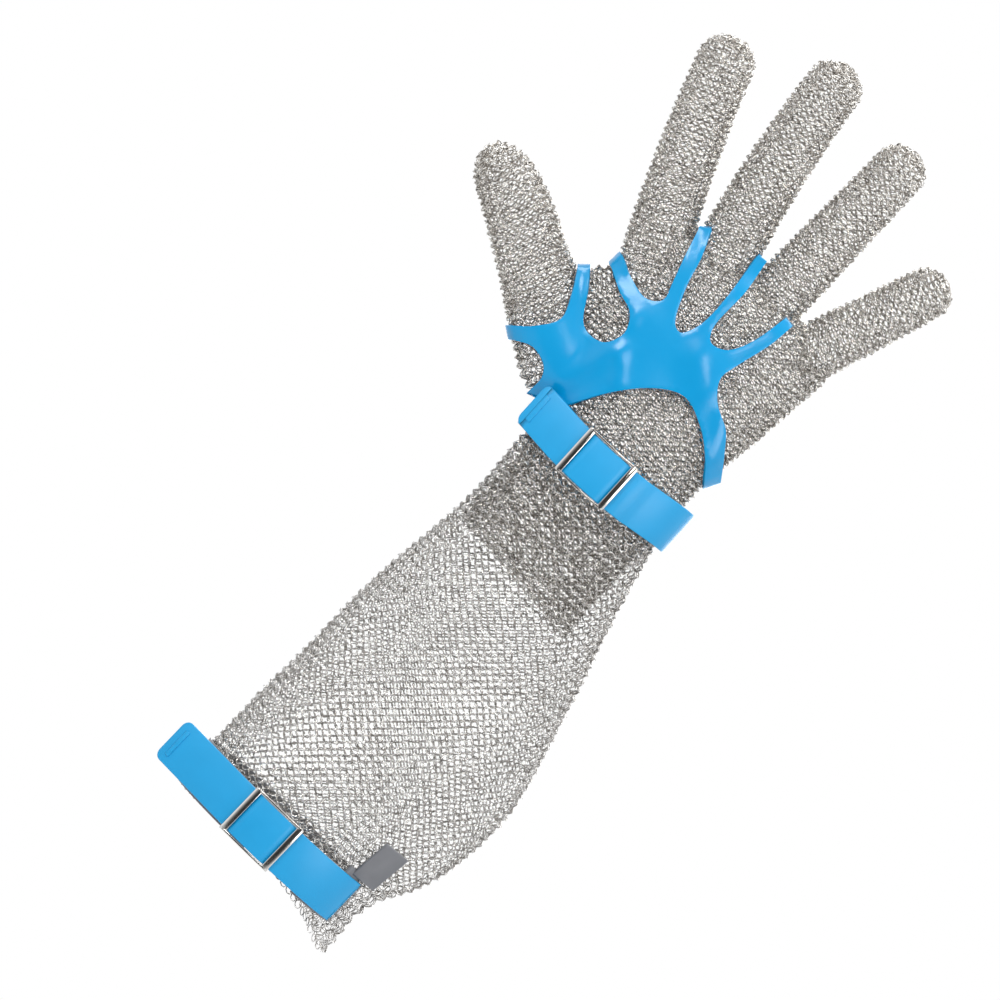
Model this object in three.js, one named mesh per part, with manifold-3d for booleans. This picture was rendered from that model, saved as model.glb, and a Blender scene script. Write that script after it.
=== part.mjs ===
// A chain mail glove with a long cuff, in the form that it has when worn, in millimetres.
// The cuff's mouth is round the origin and the fingers point up +Z. The back of the hand faces -Y,
// the thumb is on the -X side and the loose side of the cuff on the +X side.
import * as THREE from 'three';
import { LoftGeometry } from 'three/addons/geometries/LoftGeometry.js';
import { mergeVertices } from 'three/addons/utils/BufferGeometryUtils.js';
import Module from 'manifold-3d';

// Hand
const HAND_LENGTH = 190; // from the middle of the wrist strap to the tip of the middle finger
const HAND_WIDTH = 100; // over the knuckles
const HAND_DEPTH = 32;
const WRIST_WIDTH = 70;
const WRIST_DEPTH = 44;
const FINGER_WIDTH = 27;
const THUMB_WIDTH = 30;
const LIMB_DEPTH = 0.82; // depth of a finger over its width
const FINGER_CURL = THREE.MathUtils.degToRad(8); // towards the palm, from root to tip
const SKIRT_LENGTH = 57; // of the hand's mail below the middle of the wrist strap
const SKIRT_SLANT = -0.14; // rise of the skirt's edge for each millimetre to the right
const FINE_WALL = 1.6; // mail of the hand

// Cuff
const CUFF_LENGTH = 217; // from the mouth to the middle of the wrist strap
const CUFF_WIDTH = 110; // where the loose side hangs out most
const CUFF_DEPTH = 72;
const ARM_WIDTH = 84; // of the mail inside the cuff strap
const ARM_DEPTH = 68;
const CUFF_WALL = 1.8; // coarser mail of the cuff
const NECK_EASE = 0.5; // between the cuff and the hand's mail under the wrist strap
const POUCH_SPREAD = 0.4; // share of the depth that the loose side's bulge takes
const HEM_RISE = 5; // of the hem over the mouth, up to where it sags
const HEM_DROP = 6; // of the hem at the loose side's lowest tail
const HEM_FADE = 1.5; // height at which the hem's shift ends, in heights of the cuff strap

// Straps and buckles
const STRAP_WIDTH = 20;
const STRAP_THICKNESS = 1.8;
const STRAP_EASE = 0.6; // between the mail and the strap or band on it
const TAB_LEAVE = 0.6; // share of the seat's left half at which a tab's end leaves it
const WRIST_TAB_REACH = 37.5; // from the middle of the buckle to the free end
const WRIST_BUCKLE_ACROSS = -2.3;
const CUFF_STRAP_HEIGHT = 15.5;
const CUFF_STRAP_TILT = THREE.MathUtils.degToRad(1.8);
const CUFF_TAB_REACH = 52;
const CUFF_BUCKLE_ACROSS = -5.5;
const CUFF_STRAP_END = 44.5; // from the middle of the buckle to the end that lies on the band
const BUCKLE_WIDTH = 26;
const BUCKLE_GAUGE = 1.2;
const BUCKLE_BAR = 3;
const BUCKLE_RAIL = 1.1;
const PAD_RISE = 1.9; // of the strap's pad in the buckle's window
const TAB_CORNER = 2.6;
const TAB_RIDGE = 1.6;
const TAB_RIDGE_INSET = 3.9; // of the ridge's middle from the free end
const SETTLE_START = 0.6; // share of the buckle's width past its middle at which the strap comes down
const BAND_WIDTH = 22;
const BAND_THICKNESS = 1.2;
const BAND_TAB_WIDTH = 8.5;
const BAND_TAB_RISE = 2.5;
const BAND_TAIL_WIDTH = 11;
const BAND_TAIL_HEIGHT = 19;
const BAND_TAIL_LEAN = 0.125; // of the tail to the right for each millimetre up
const BAND_MARGIN = 1; // that the band's upper edge lies under the strap's
const TAIL_ROOM = 0.27; // cut into the mail round the tail, under the gap so that no face is shared

// Tensioner
const TENSIONER_THICKNESS = 1.4;

const GAP = 0.3; // between pieces that touch
const OVERRUN = 6; // of a cut past the wall that it opens
const TUBE_SIDES = 26;
const LIMB_SIDES = 12;
const STRAP_STEPS = 26;

// Sections of the wrist and palm from the skirt up. The heights count from the middle of the wrist
// strap: below it in shares of the skirt, above it in shares of the hand's length.
// left, right, front and back are shares of the wrist's or the hand's width and depth. The palm
// widens on the left where the web joins the thumb to the index finger.
const WRIST_SECTIONS = [
  { up: -1.15, left: 0.45, right: 0.5, front: 0.49, back: 0.49 },
  { up: -0.4, left: 0.435, right: 0.495, front: 0.49, back: 0.49 },
  { up: -0.2, left: 0.455, right: 0.505, front: 0.5, back: 0.5 },
  { up: 0, left: 0.485, right: 0.515, front: 0.5, back: 0.5 },
];
const PALM_SECTIONS = [
  { up: 0.055, left: 0.35, right: 0.355, front: 0.66, back: 0.68 },
  { up: 0.14, left: 0.42, right: 0.36, front: 0.61, back: 0.67 },
  { up: 0.25, left: 0.57, right: 0.395, front: 0.54, back: 0.6 },
  { up: 0.277, left: 0.59, right: 0.402, front: 0.528, back: 0.578 },
  { up: 0.303, left: 0.59, right: 0.408, front: 0.515, back: 0.554 },
  { up: 0.333, left: 0.53, right: 0.415, front: 0.5, back: 0.528 },
  { up: 0.355, left: 0.52, right: 0.42, front: 0.49, back: 0.51 },
  { up: 0.45, left: 0.545, right: 0.44, front: 0.45, back: 0.46 },
  { up: 0.485, left: 0.53, right: 0.43, front: 0.38, back: 0.39 },
  { up: 0.505, left: 0.49, right: 0.39, front: 0.28, back: 0.28 },
  { up: 0.515, left: 0.44, right: 0.34, front: 0.18, back: 0.18 },
];

// Sections of the cuff above its strap: heights in shares of the cuff's length, left, right and
// pouch in shares of its width, front and back in shares of its depth.
const CUFF_SECTIONS = [
  { up: 0.165, left: 0.405, right: 0.43, pouch: 0.1, front: 0.49, back: 0.5 },
  { up: 0.215, left: 0.403, right: 0.485, pouch: 0.085, front: 0.5, back: 0.52 },
  { up: 0.29, left: 0.398, right: 0.53, pouch: 0.065, front: 0.5, back: 0.53 },
  { up: 0.39, left: 0.384, right: 0.555, pouch: 0.05, front: 0.5, back: 0.53 },
  { up: 0.48, left: 0.372, right: 0.545, pouch: 0.04, front: 0.485, back: 0.51 },
  { up: 0.57, left: 0.354, right: 0.515, pouch: 0.03, front: 0.46, back: 0.48 },
  { up: 0.665, left: 0.333, right: 0.472, pouch: 0.02, front: 0.425, back: 0.44 },
  { up: 0.755, left: 0.317, right: 0.425, pouch: 0.01, front: 0.39, back: 0.4 },
  { up: 0.83, left: 0.309, right: 0.395, pouch: 0, front: 0.365, back: 0.37 },
];

// The cuff inside its strap: left, right and pouch in shares of the arm's width, front and back in
// shares of its depth. The heights are shares of the strap's height over the mouth.
const GRIP_SECTIONS = [
  { up: -0.5, left: 0.53, right: 0.475, pouch: 0.1, front: 0.5, back: 0.5 },
  { up: 0.2, left: 0.53, right: 0.47, pouch: 0.095, front: 0.5, back: 0.5 },
  { up: 0.9, left: 0.53, right: 0.47, pouch: 0.085, front: 0.5, back: 0.5 },
  { up: 1.35, left: 0.53, right: 0.47, pouch: 0.11, front: 0.5, back: 0.5 },
  { up: 1.72, left: 0.53, right: 0.475, pouch: 0.145, front: 0.5, back: 0.5 },
];

// Fingers: the middle of the root in shares of the hand's width and length over the wrist strap,
// reach in shares of the hand's length, lean in degrees to the thumb's side at the root and what
// it loses up to the tip, width as a share of a finger's, taper as what is left of it at the tip.
const FINGERS = [
  {
    name: 'index', across: -0.395, up: 0.373, reach: 0.55,
    lean: 26, bend: 9, width: 1.05, taper: 0.86,
  },
  {
    name: 'middle', across: -0.19, up: 0.458, reach: 0.55,
    lean: 14, bend: 10, width: 1.04, taper: 0.86,
  },
  {
    name: 'ring', across: 0.055, up: 0.458, reach: 0.5,
    lean: -2, bend: 0, width: 0.99, taper: 0.85,
  },
  {
    name: 'little', across: 0.26, up: 0.416, reach: 0.407,
    lean: -23, bend: -3.5, width: 0.95, taper: 0.84,
  },
];

// Thumb, from the ball inside the palm to the tip: across and up as for the fingers, width and
// depth in shares of the thumb's width, back as the shift to the palm's side.
const THUMB_SECTIONS = [
  { across: -0.25, up: 0.1, width: 1.2, depth: 0.7, back: 0.03 },
  { across: -0.42, up: 0.116, width: 1.27, depth: 0.88, back: 0.05 },
  { across: -0.53, up: 0.145, width: 1.17, depth: 0.86, back: 0.07 },
  { across: -0.66, up: 0.191, width: 1.13, depth: 0.83, back: 0.1 },
  { across: -0.81, up: 0.238, width: 1.03, depth: 0.8, back: 0.13 },
  { across: -0.96, up: 0.288, width: 0.98, depth: 0.77, back: 0.17 },
  { across: -1.08, up: 0.32, width: 0.9, depth: 0.72, back: 0.2 },
  { across: -1.16, up: 0.332, width: 0.77, depth: 0.62, back: 0.22 },
  { across: -1.215, up: 0.336, width: 0.55, depth: 0.46, back: 0.23 },
  { across: -1.25, up: 0.337, width: 0.22, depth: 0.18, back: 0.23 },
];
const THUMB_CLOSING = 0.88; // share of the thumb's width from which the tip closes

// Outline of the tensioner from arm to arm: tip holds the two corners of an arm's end, and valley
// the points of the edge on the way to the next arm, each [across, up] as for the fingers.
const TENSIONER_ARMS = [
  {
    tip: [[-0.628, 0.28], [-0.588, 0.298]],
    valley: [
      [-0.535, 0.26], [-0.45, 0.197], [-0.345, 0.197],
      [-0.307, 0.24], [-0.345, 0.282], [-0.44, 0.303],
    ],
  },
  {
    tip: [[-0.528, 0.331], [-0.524, 0.364]],
    valley: [[-0.44, 0.342], [-0.34, 0.328], [-0.28, 0.35], [-0.3, 0.395], [-0.335, 0.455]],
  },
  {
    tip: [[-0.368, 0.519], [-0.326, 0.534]],
    valley: [
      [-0.28, 0.475], [-0.245, 0.405], [-0.185, 0.333],
      [-0.135, 0.324], [-0.1, 0.365], [-0.095, 0.435],
    ],
  },
  {
    tip: [[-0.115, 0.558], [-0.07, 0.56]],
    valley: [[-0.052, 0.48], [-0.055, 0.385], [-0.02, 0.35], [0.05, 0.362], [0.105, 0.415]],
  },
  {
    tip: [[0.139, 0.496], [0.183, 0.492]],
    valley: [
      [0.165, 0.43], [0.12, 0.347], [0.107, 0.305],
      [0.16, 0.265], [0.26, 0.233], [0.32, 0.195],
    ],
  },
  {
    tip: [[0.374, 0.157], [0.336, 0.122]],
    valley: [[0.275, 0.16], [0.18, 0.2], [0.05, 0.226], [-0.07, 0.195], [-0.19, 0.125]],
  },
  {
    tip: [[-0.3, 0.03], [-0.44, 0.01]],
    valley: [[-0.437, 0.055], [-0.475, 0.08], [-0.55, 0.09]],
  },
  {
    tip: [[-0.62, 0.076], [-0.668, 0.095]],
    valley: [[-0.595, 0.128], [-0.54, 0.175], [-0.575, 0.23]],
  },
];

const wasm = await Module();
wasm.setup();

// Solids and geometries

function solidOf(geometry) {
  const bare = new THREE.BufferGeometry();
  bare.setAttribute('position', geometry.getAttribute('position'));
  bare.setIndex(geometry.index);
  const merged = mergeVertices(bare, 1e-4);
  const vertProperties = merged.getAttribute('position').array;
  const triVerts = new Uint32Array(merged.index.array);
  return new wasm.Manifold(new wasm.Mesh({ numProp: 3, vertProperties, triVerts }));
}

function geometryOf(solid) {
  const { vertProperties, triVerts } = solid.getMesh();
  const geometry = new THREE.BufferGeometry();
  geometry.setAttribute('position', new THREE.BufferAttribute(vertProperties, 3));
  geometry.setIndex(new THREE.BufferAttribute(triVerts, 1));
  geometry.computeVertexNormals();
  return geometry;
}

const loft = (sections) => solidOf(new LoftGeometry(sections, { capStart: true, capEnd: true }));
const joined = (solids) => solids.reduce((all, solid) => all.add(solid));
const steps = (from, to, count) =>
  Array.from({ length: count + 1 }, (_, i) => from + ((to - from) * i) / count);
const angles = (sides) => steps(0, 2 * Math.PI, sides).slice(0, -1);

// Tubes of mail: a section is an oval with its own half width or depth on each of its four sides,
// and a bulge on the right for the loose side.

function ovalPoint(section, angle, grow = 0) {
  const across = Math.cos(angle);
  const deep = Math.sin(angle);
  const width = (across < 0 ? section.left : section.right) + grow;
  const depth = (deep < 0 ? section.front : section.back) + grow;
  const bulge = across > 0 ? (section.pouch ?? 0) * Math.exp(-((deep / POUCH_SPREAD) ** 4)) : 0;
  return new THREE.Vector2(width * across + bulge, depth * deep);
}

// The section at a height, smooth between the rows on both sides of it.
function sectionAt(rows, height) {
  const z = THREE.MathUtils.clamp(height, rows[0].z, rows.at(-1).z);
  const i = Math.min(rows.findLastIndex((row) => row.z <= z), rows.length - 2);
  const [low, high] = [rows[i], rows[i + 1]];
  const [before, after] = [rows[i - 1] ?? low, rows[i + 2] ?? high];
  const span = high.z - low.z;
  const t = (z - low.z) / span;
  const section = {};
  for (const side of ['left', 'right', 'front', 'back', 'pouch']) {
    const slopeLow = (span * (high[side] - before[side])) / (high.z - before.z);
    const slopeHigh = (span * (after[side] - low[side])) / (after.z - low.z);
    const curve = low[side] * (2 * t ** 3 - 3 * t ** 2 + 1) + high[side] * (3 * t ** 2 - 2 * t ** 3);
    section[side] = curve + slopeLow * (t ** 3 - 2 * t ** 2 + t) + slopeHigh * (t ** 3 - t ** 2);
  }
  return section;
}

const sized = (row, z, width, depth) => ({
  z,
  left: row.left * width,
  right: row.right * width,
  pouch: (row.pouch ?? 0) * width,
  front: row.front * depth,
  back: row.back * depth,
});

const wristRow = (row) => sized(row, CUFF_LENGTH + row.up * SKIRT_LENGTH, WRIST_WIDTH, WRIST_DEPTH);
const palmRow = (row) => sized(row, CUFF_LENGTH + row.up * HAND_LENGTH, HAND_WIDTH, HAND_DEPTH);
const handRows = [...WRIST_SECTIONS.map(wristRow), ...PALM_SECTIONS.map(palmRow)];

function neckRow(z, flare) {
  const wrist = sectionAt(handRows, z);
  const grow = CUFF_WALL + NECK_EASE + flare;
  const grown = ['left', 'right', 'front', 'back'].map((side) => [side, wrist[side] + grow]);
  return { z, pouch: 0, ...Object.fromEntries(grown) };
}

const strapTop = CUFF_LENGTH + STRAP_WIDTH / 2;
const cuffTop = CUFF_LENGTH + STRAP_WIDTH / 4;
const neckHeights = [-0.7, -0.5, 0, 0.25].map((share) => CUFF_LENGTH + share * STRAP_WIDTH);
const cuffRows = [
  ...GRIP_SECTIONS.map((row) => sized(row, row.up * CUFF_STRAP_HEIGHT, ARM_WIDTH, ARM_DEPTH)),
  ...CUFF_SECTIONS.map((row) => sized(row, row.up * CUFF_LENGTH, CUFF_WIDTH, CUFF_DEPTH)),
  ...neckHeights.map((z, i) => neckRow(z, i === 0 ? 1 : 0)),
];

// The hem lies a little over the mouth and sags to the loose side, which dies out over the strap.
function hemShift(x, z) {
  const fade = THREE.MathUtils.clamp(1 - z / (HEM_FADE * CUFF_STRAP_HEIGHT), 0, 1);
  const share = Math.max((2 * x) / ARM_WIDTH, 0);
  return fade * Math.max(HEM_RISE - (HEM_RISE + HEM_DROP) * share ** 2, -HEM_DROP);
}

const skirtShift = (x, z) => (z < CUFF_LENGTH - SKIRT_LENGTH / 2 ? SKIRT_SLANT * x : 0);

function tube(rows, heights, grow, shift) {
  return loft(
    heights.map((z) => {
      const section = sectionAt(rows, z);
      return angles(TUBE_SIDES).map((angle) => {
        const { x, y } = ovalPoint(section, angle, grow);
        return new THREE.Vector3(x, y, z + shift(x, z));
      });
    }),
  );
}

const skirtBottom = CUFF_LENGTH - SKIRT_LENGTH;
const palmTop = handRows.at(-1).z;
const webHeights = handRows.slice(-9, -5).map((row) => row.z);
const knuckleHeights = handRows.slice(-4).map((row) => row.z);
const handHeights = [
  ...steps(skirtBottom, neckHeights[0], 2).slice(0, -1),
  ...neckHeights,
  ...steps(strapTop, webHeights[0], 2).slice(0, -1),
  ...webHeights,
  ...knuckleHeights,
];

function handBody(grow) {
  const heights = [...handHeights];
  heights[heights.length - 1] = palmTop + grow;
  if (grow < 0) heights[0] -= OVERRUN;
  return tube(handRows, heights, grow, skirtShift);
}

// Limbs: fingers and thumb, lofted through ovals square to their own line.
// close is 1 along a limb and falls to 0 at its tip.

function limb(rows, grow, overrun = Math.max(grow, 0)) {
  const sections = rows.map((row, i) => {
    const from = rows[Math.max(i - 1, 0)].at;
    const to = rows[Math.min(i + 1, rows.length - 1)].at;
    const along = to.clone().sub(from).normalize();
    const level = new THREE.Vector3(0, 1, 0).cross(along).normalize();
    const deep = new THREE.Vector3().crossVectors(along, level);
    const wide = new THREE.Vector3().crossVectors(deep, along);
    const slide = i === 0 ? -overrun : grow * (1 - row.close);
    const middle = row.at.clone().addScaledVector(along, slide);
    const halfWidth = Math.max(row.width / 2 + grow, GAP);
    const halfDepth = Math.max(row.depth / 2 + grow, GAP);
    return angles(LIMB_SIDES).map((angle) =>
      middle
        .clone()
        .addScaledVector(wide, halfWidth * Math.cos(angle))
        .addScaledVector(deep, halfDepth * Math.sin(angle)),
    );
  });
  return loft(sections);
}

const ROUNDING = [0, 0.5, 0.85, 1]; // shares of a fingertip's rounded length
const ROUNDED_LENGTH = 0.42; // of a fingertip, as a share of its width
const TIP_REST = 0.12; // share of the width that the last section keeps

function fingerRows({ across, up, reach, lean, bend, width, taper }) {
  const length = reach * HAND_LENGTH;
  const rootWidth = width * FINGER_WIDTH;
  const rounded = ROUNDED_LENGTH * rootWidth * taper;
  const straight = 1 - rounded / length;
  const rounding = ROUNDING.map((share) => straight + (1 - straight) * share);
  const shares = [...steps(0, straight, 4).slice(0, -1), ...rounding];
  const at = new THREE.Vector3(across * HAND_WIDTH, 0, CUFF_LENGTH + up * HAND_LENGTH);
  let reached = 0;
  return shares.map((share) => {
    const middle = (reached + share) / 2;
    const tilt = THREE.MathUtils.degToRad(-lean + bend * middle);
    const curl = FINGER_CURL * middle;
    const step = (share - reached) * length;
    at.add(new THREE.Vector3(Math.sin(tilt), Math.sin(curl), Math.cos(tilt)).multiplyScalar(step));
    reached = share;
    const r = Math.max((share - straight) / (1 - straight), 0);
    const close = Math.max(Math.sqrt(1 - r * r), TIP_REST);
    const wide = rootWidth * (1 - (1 - taper) * share) * close;
    return { at: at.clone(), width: wide, depth: wide * LIMB_DEPTH, close };
  });
}

const thumbRows = THUMB_SECTIONS.map((row) => ({
  at: new THREE.Vector3(
    row.across * HAND_WIDTH,
    row.back * THUMB_WIDTH,
    CUFF_LENGTH + row.up * HAND_LENGTH,
  ),
  width: row.width * THUMB_WIDTH,
  depth: row.depth * THUMB_WIDTH,
  close: Math.min(row.width / THUMB_CLOSING, 1),
}));

const limbs = [
  { name: 'mail_thumb', rows: thumbRows },
  ...FINGERS.map((finger) => ({ name: `mail_${finger.name}_finger`, rows: fingerRows(finger) })),
];

// Straps: thin sheets that follow the seat, the oval that carries them. lift is the distance of a
// sheet's middle from the seat.

const wristSeat = ['left', 'right', 'front', 'back'].reduce(
  (seat, side) => {
    const sides = steps(CUFF_LENGTH - STRAP_WIDTH / 2, strapTop, 8).map((z) =>
      z <= cuffTop ? sectionAt(cuffRows, z)[side] : sectionAt(handRows, z)[side],
    );
    return { ...seat, [side]: Math.max(...sides) };
  },
  { height: CUFF_LENGTH, tilt: 0 },
);
const gripMiddle = GRIP_SECTIONS.find((row) => row.up === 0.9);
const armSeat = {
  ...sized(gripMiddle, CUFF_STRAP_HEIGHT, ARM_WIDTH, ARM_DEPTH),
  pouch: 0,
  height: CUFF_STRAP_HEIGHT,
  tilt: CUFF_STRAP_TILT,
};

// The angle at which the front of an oval reaches x, found by halving.
function frontAngle(section, x, grow) {
  let [low, high] = [Math.PI, 2 * Math.PI];
  for (let i = 0; i < 40; i += 1) {
    const middle = (low + high) / 2;
    if (ovalPoint(section, middle, grow).x < x) low = middle;
    else high = middle;
  }
  return low;
}

// An upright sheet along a line seen from above, given as points, between two heights.
function sheet(line, thickness, bottom, top) {
  const normals = line.map((point, i) => {
    const from = line[Math.max(i - 1, 0)];
    const to = line[Math.min(i + 1, line.length - 1)];
    const along = to.clone().sub(from).normalize();
    return new THREE.Vector2(along.y, -along.x);
  });
  const side = (offset) => line.map((point, i) => point.clone().addScaledVector(normals[i], offset));
  const outline = [...side(thickness / 2), ...side(-thickness / 2).reverse()];
  return loft([bottom, top].map((z) => outline.map(({ x, y }) => new THREE.Vector3(x, y, z))));
}

function frontLine(seat, from, to, lift, count) {
  const [first, last] = [from, to].map((x) => frontAngle(seat, x, lift));
  return steps(first, last, count).map((angle) => ovalPoint(seat, angle, lift));
}

// The tab's free end leaves the seat straight, along the tangent at x = leave.
const SHORT_TURN = 0.02;
function tabLine(seat, leave, end, lift) {
  const angle = frontAngle(seat, leave, lift);
  const start = ovalPoint(seat, angle, lift);
  const along = start.clone().sub(ovalPoint(seat, angle + SHORT_TURN, lift)).normalize();
  const length = (end - leave) / along.x;
  return steps(length, 0, 4).slice(0, -1).map((share) => start.clone().addScaledVector(along, share));
}

const firstLift = STRAP_EASE + STRAP_THICKNESS / 2;
const secondLift = firstLift + STRAP_THICKNESS + GAP;
const tabLeave = (seat) => -TAB_LEAVE * seat.left;

// From the free tab over the buckle, once round the wrist and back under the tab.
function wristStrapLine() {
  const leave = tabLeave(wristSeat);
  const tab = tabLine(wristSeat, leave, WRIST_BUCKLE_ACROSS - WRIST_TAB_REACH, secondLift);
  const first = frontAngle(wristSeat, leave, secondLift);
  const last = frontAngle(wristSeat, WRIST_BUCKLE_ACROSS, firstLift) + 2 * Math.PI;
  const settle = [SETTLE_START, 1].map((share) => WRIST_BUCKLE_ACROSS + share * BUCKLE_WIDTH);
  const [high, low] = settle.map((x) => frontAngle(wristSeat, x, secondLift));
  const loop = steps(first, last, STRAP_STEPS).map((angle) => {
    const down = THREE.MathUtils.smoothstep(angle, high, low);
    return ovalPoint(wristSeat, angle, secondLift + (firstLift - secondLift) * down);
  });
  return [...tab, ...loop];
}

// The buckle's frame lies over the strap, and the strap's pad rises between its two bars.
function buckleParts(seat, across) {
  const lift = secondLift + STRAP_THICKNESS / 2 + GAP + BUCKLE_GAUGE / 2;
  const half = BUCKLE_WIDTH / 2;
  const edge = STRAP_WIDTH / 2 + GAP;
  const outer = edge + BUCKLE_RAIL;
  const frameLine = frontLine(seat, across - half, across + half, lift, 5);
  const bars = [-half, half - BUCKLE_BAR].map((x) =>
    sheet(frontLine(seat, across + x, across + x + BUCKLE_BAR, lift, 1), BUCKLE_GAUGE, -outer, outer),
  );
  const rails = [-outer, edge].map((z) => sheet(frameLine, BUCKLE_GAUGE, z, z + BUCKLE_RAIL));
  const padHalf = half - BUCKLE_BAR - 2 * GAP;
  const padLift = secondLift + PAD_RISE / 2;
  const padLine = frontLine(seat, across - padHalf, across + padHalf, padLift, 6);
  const padUp = STRAP_WIDTH / 2 - GAP;
  const pad = sheet(padLine, PAD_RISE + STRAP_THICKNESS / 2, -padUp, padUp);
  return { frame: joined([...bars, ...rails]), pad };
}

// The corners of the tab are rounded, and a grip ridge stands near its end.
function finishTab(strap, tab) {
  const end = tab[0];
  const along = tab[1].clone().sub(end).normalize();
  const half = STRAP_WIDTH / 2;
  const corner = new THREE.Shape();
  corner.moveTo(-1, TAB_CORNER);
  corner.lineTo(0, TAB_CORNER);
  corner.absarc(TAB_CORNER, TAB_CORNER, TAB_CORNER, Math.PI, 1.5 * Math.PI, false);
  corner.lineTo(TAB_CORNER, -1);
  corner.lineTo(-1, -1);
  const turn = Math.atan2(along.y, along.x);
  let finished = strap;
  for (const up of [1, -1]) {
    const depth = 4 * STRAP_THICKNESS;
    const cut = new THREE.ExtrudeGeometry(corner, { depth, bevelEnabled: false, curveSegments: 5 });
    cut.translate(0, 0, -depth / 2);
    cut.rotateX(Math.PI / 2);
    if (up > 0) cut.rotateX(Math.PI);
    cut.translate(0, 0, up * half);
    cut.rotateZ(turn);
    cut.translate(end.x, end.y, 0);
    finished = finished.subtract(solidOf(cut));
  }
  const ridge = new THREE.BoxGeometry(TAB_RIDGE, STRAP_THICKNESS, STRAP_WIDTH / 2);
  ridge.translate(TAB_RIDGE_INSET, -STRAP_THICKNESS / 2, 0);
  ridge.rotateZ(turn);
  ridge.translate(end.x, end.y, 0);
  return finished.add(solidOf(ridge));
}

const wristLine = wristStrapLine();
const wristParts = buckleParts(wristSeat, WRIST_BUCKLE_ACROSS);
const wristLoop = sheet(wristLine, STRAP_THICKNESS, -STRAP_WIDTH / 2, STRAP_WIDTH / 2);
const wristStrap = finishTab(wristLoop.add(wristParts.pad), wristLine);

const armLeave = tabLeave(armSeat);
const armTab = tabLine(armSeat, armLeave, CUFF_BUCKLE_ACROSS - CUFF_TAB_REACH, secondLift);
const armEnd = CUFF_BUCKLE_ACROSS + CUFF_STRAP_END;
const armFront = frontLine(armSeat, armLeave, armEnd, secondLift, 20);
const armLine = [...armTab, ...armFront];
const armParts = buckleParts(armSeat, CUFF_BUCKLE_ACROSS);

function armStrap(grow) {
  const half = STRAP_WIDTH / 2 + grow;
  return sheet(armLine, STRAP_THICKNESS + 2 * grow, -half, half);
}

const cuffStrap = finishTab(armStrap(0).add(armParts.pad), armLine);

// The band: from under the strap's right end round the hidden side to the buckle, with a tail that
// rises on the outside of the mail at the loose side.
function cuffBand(grow) {
  const lift = STRAP_EASE + BAND_THICKNESS / 2;
  const start = frontAngle(armSeat, CUFF_BUCKLE_ACROSS + BUCKLE_WIDTH, lift);
  const end = frontAngle(armSeat, CUFF_BUCKLE_ACROSS, lift) + 2 * Math.PI;
  const line = steps(start, end, STRAP_STEPS).map((angle) => ovalPoint(armSeat, angle, lift));
  const half = BAND_WIDTH / 2 + grow;
  const loop = sheet(line, BAND_THICKNESS + 2 * grow, -half, half - BAND_MARGIN);
  const tabLeft = armSeat.right - BAND_TAB_WIDTH - grow;
  const tab = frontLine(armSeat, tabLeft, armSeat.right + grow, lift, 6);
  return loop.add(sheet(tab, BAND_THICKNESS + 2 * grow, 0, half + BAND_TAB_RISE));
}

function bandTail(grow) {
  const bottom = CUFF_STRAP_HEIGHT + STRAP_WIDTH / 2;
  const inside = armSeat.right - BAND_TAIL_WIDTH / 2;
  const sections = steps(bottom - grow, bottom + BAND_TAIL_HEIGHT + grow, 5).map((z) => {
    const section = sectionAt(cuffRows, z);
    const left = inside + (z - bottom) * BAND_TAIL_LEAN;
    const ends = [left - grow, left + BAND_TAIL_WIDTH + grow];
    const [first, last] = ends.map((x) => frontAngle(section, x, GAP));
    const along = steps(first, last, 6);
    const outer = along.map((angle) => ovalPoint(section, angle, GAP + BAND_THICKNESS + grow));
    const inner = along.map((angle) => ovalPoint(section, angle, GAP - grow)).reverse();
    return [...outer, ...inner].map(({ x, y }) => new THREE.Vector3(x, y, z));
  });
  return loft(sections);
}

const armPlace = new THREE.Matrix4()
  .makeTranslation(0, 0, armSeat.height)
  .multiply(new THREE.Matrix4().makeRotationY(armSeat.tilt));
const placed = (solid, place) => solidOf(geometryOf(solid).applyMatrix4(place));
const unplaced = (solid, place) => placed(solid, place.clone().invert());

const tailInSeat = (grow) => unplaced(bandTail(grow), armPlace);
const band = cuffBand(0).add(tailInSeat(0));

// Mail of the cuff, open at both ends and slit where the band and the strap pass through it

const cuffHeights = [0, 0.35, 0.7, 1, 1.35, 1.72].map((share) => share * CUFF_STRAP_HEIGHT);
const cuffLevels = [
  ...cuffHeights,
  ...steps(cuffRows[GRIP_SECTIONS.length].z, neckHeights[0], 7).slice(0, -1),
  ...neckHeights,
];

function cuffBody(grow) {
  const heights = [...cuffLevels];
  if (grow < 0) {
    heights[0] -= OVERRUN;
    heights[heights.length - 1] += OVERRUN;
  }
  return tube(cuffRows, heights, grow, hemShift);
}

const cuffMail = cuffBody(0)
  .subtract(cuffBody(-CUFF_WALL))
  .subtract(placed(joined([cuffBand(GAP), armStrap(GAP)]), armPlace))
  .subtract(bandTail(TAIL_ROOM));

// Mail of the hand

const handInside = handBody(-FINE_WALL);
const strapOutline = angles(TUBE_SIDES).map((angle) =>
  ovalPoint(wristSeat, angle, secondLift + STRAP_THICKNESS),
);
const strapRoom = loft(
  [CUFF_LENGTH - STRAP_WIDTH, strapTop + GAP].map((z) =>
    strapOutline.map(({ x, y }) => new THREE.Vector3(x, y, z)),
  ),
);
const handMail = handBody(0)
  .subtract(handInside)
  .subtract(joined(limbs.map(({ rows }) => limb(rows, GAP))));

const limbMail = limbs.map(({ name, rows }, i) => {
  const neighbours = limbs.slice(0, i).map((other) => limb(other.rows, GAP));
  const cuts = [limb(rows, -FINE_WALL, OVERRUN), handInside, ...neighbours];
  if (i === 0) cuts.push(strapRoom);
  return { name, solid: limb(rows, 0).subtract(joined(cuts)) };
});

// Tensioner: the part of a shell round the hand that lies inside the outline

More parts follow.
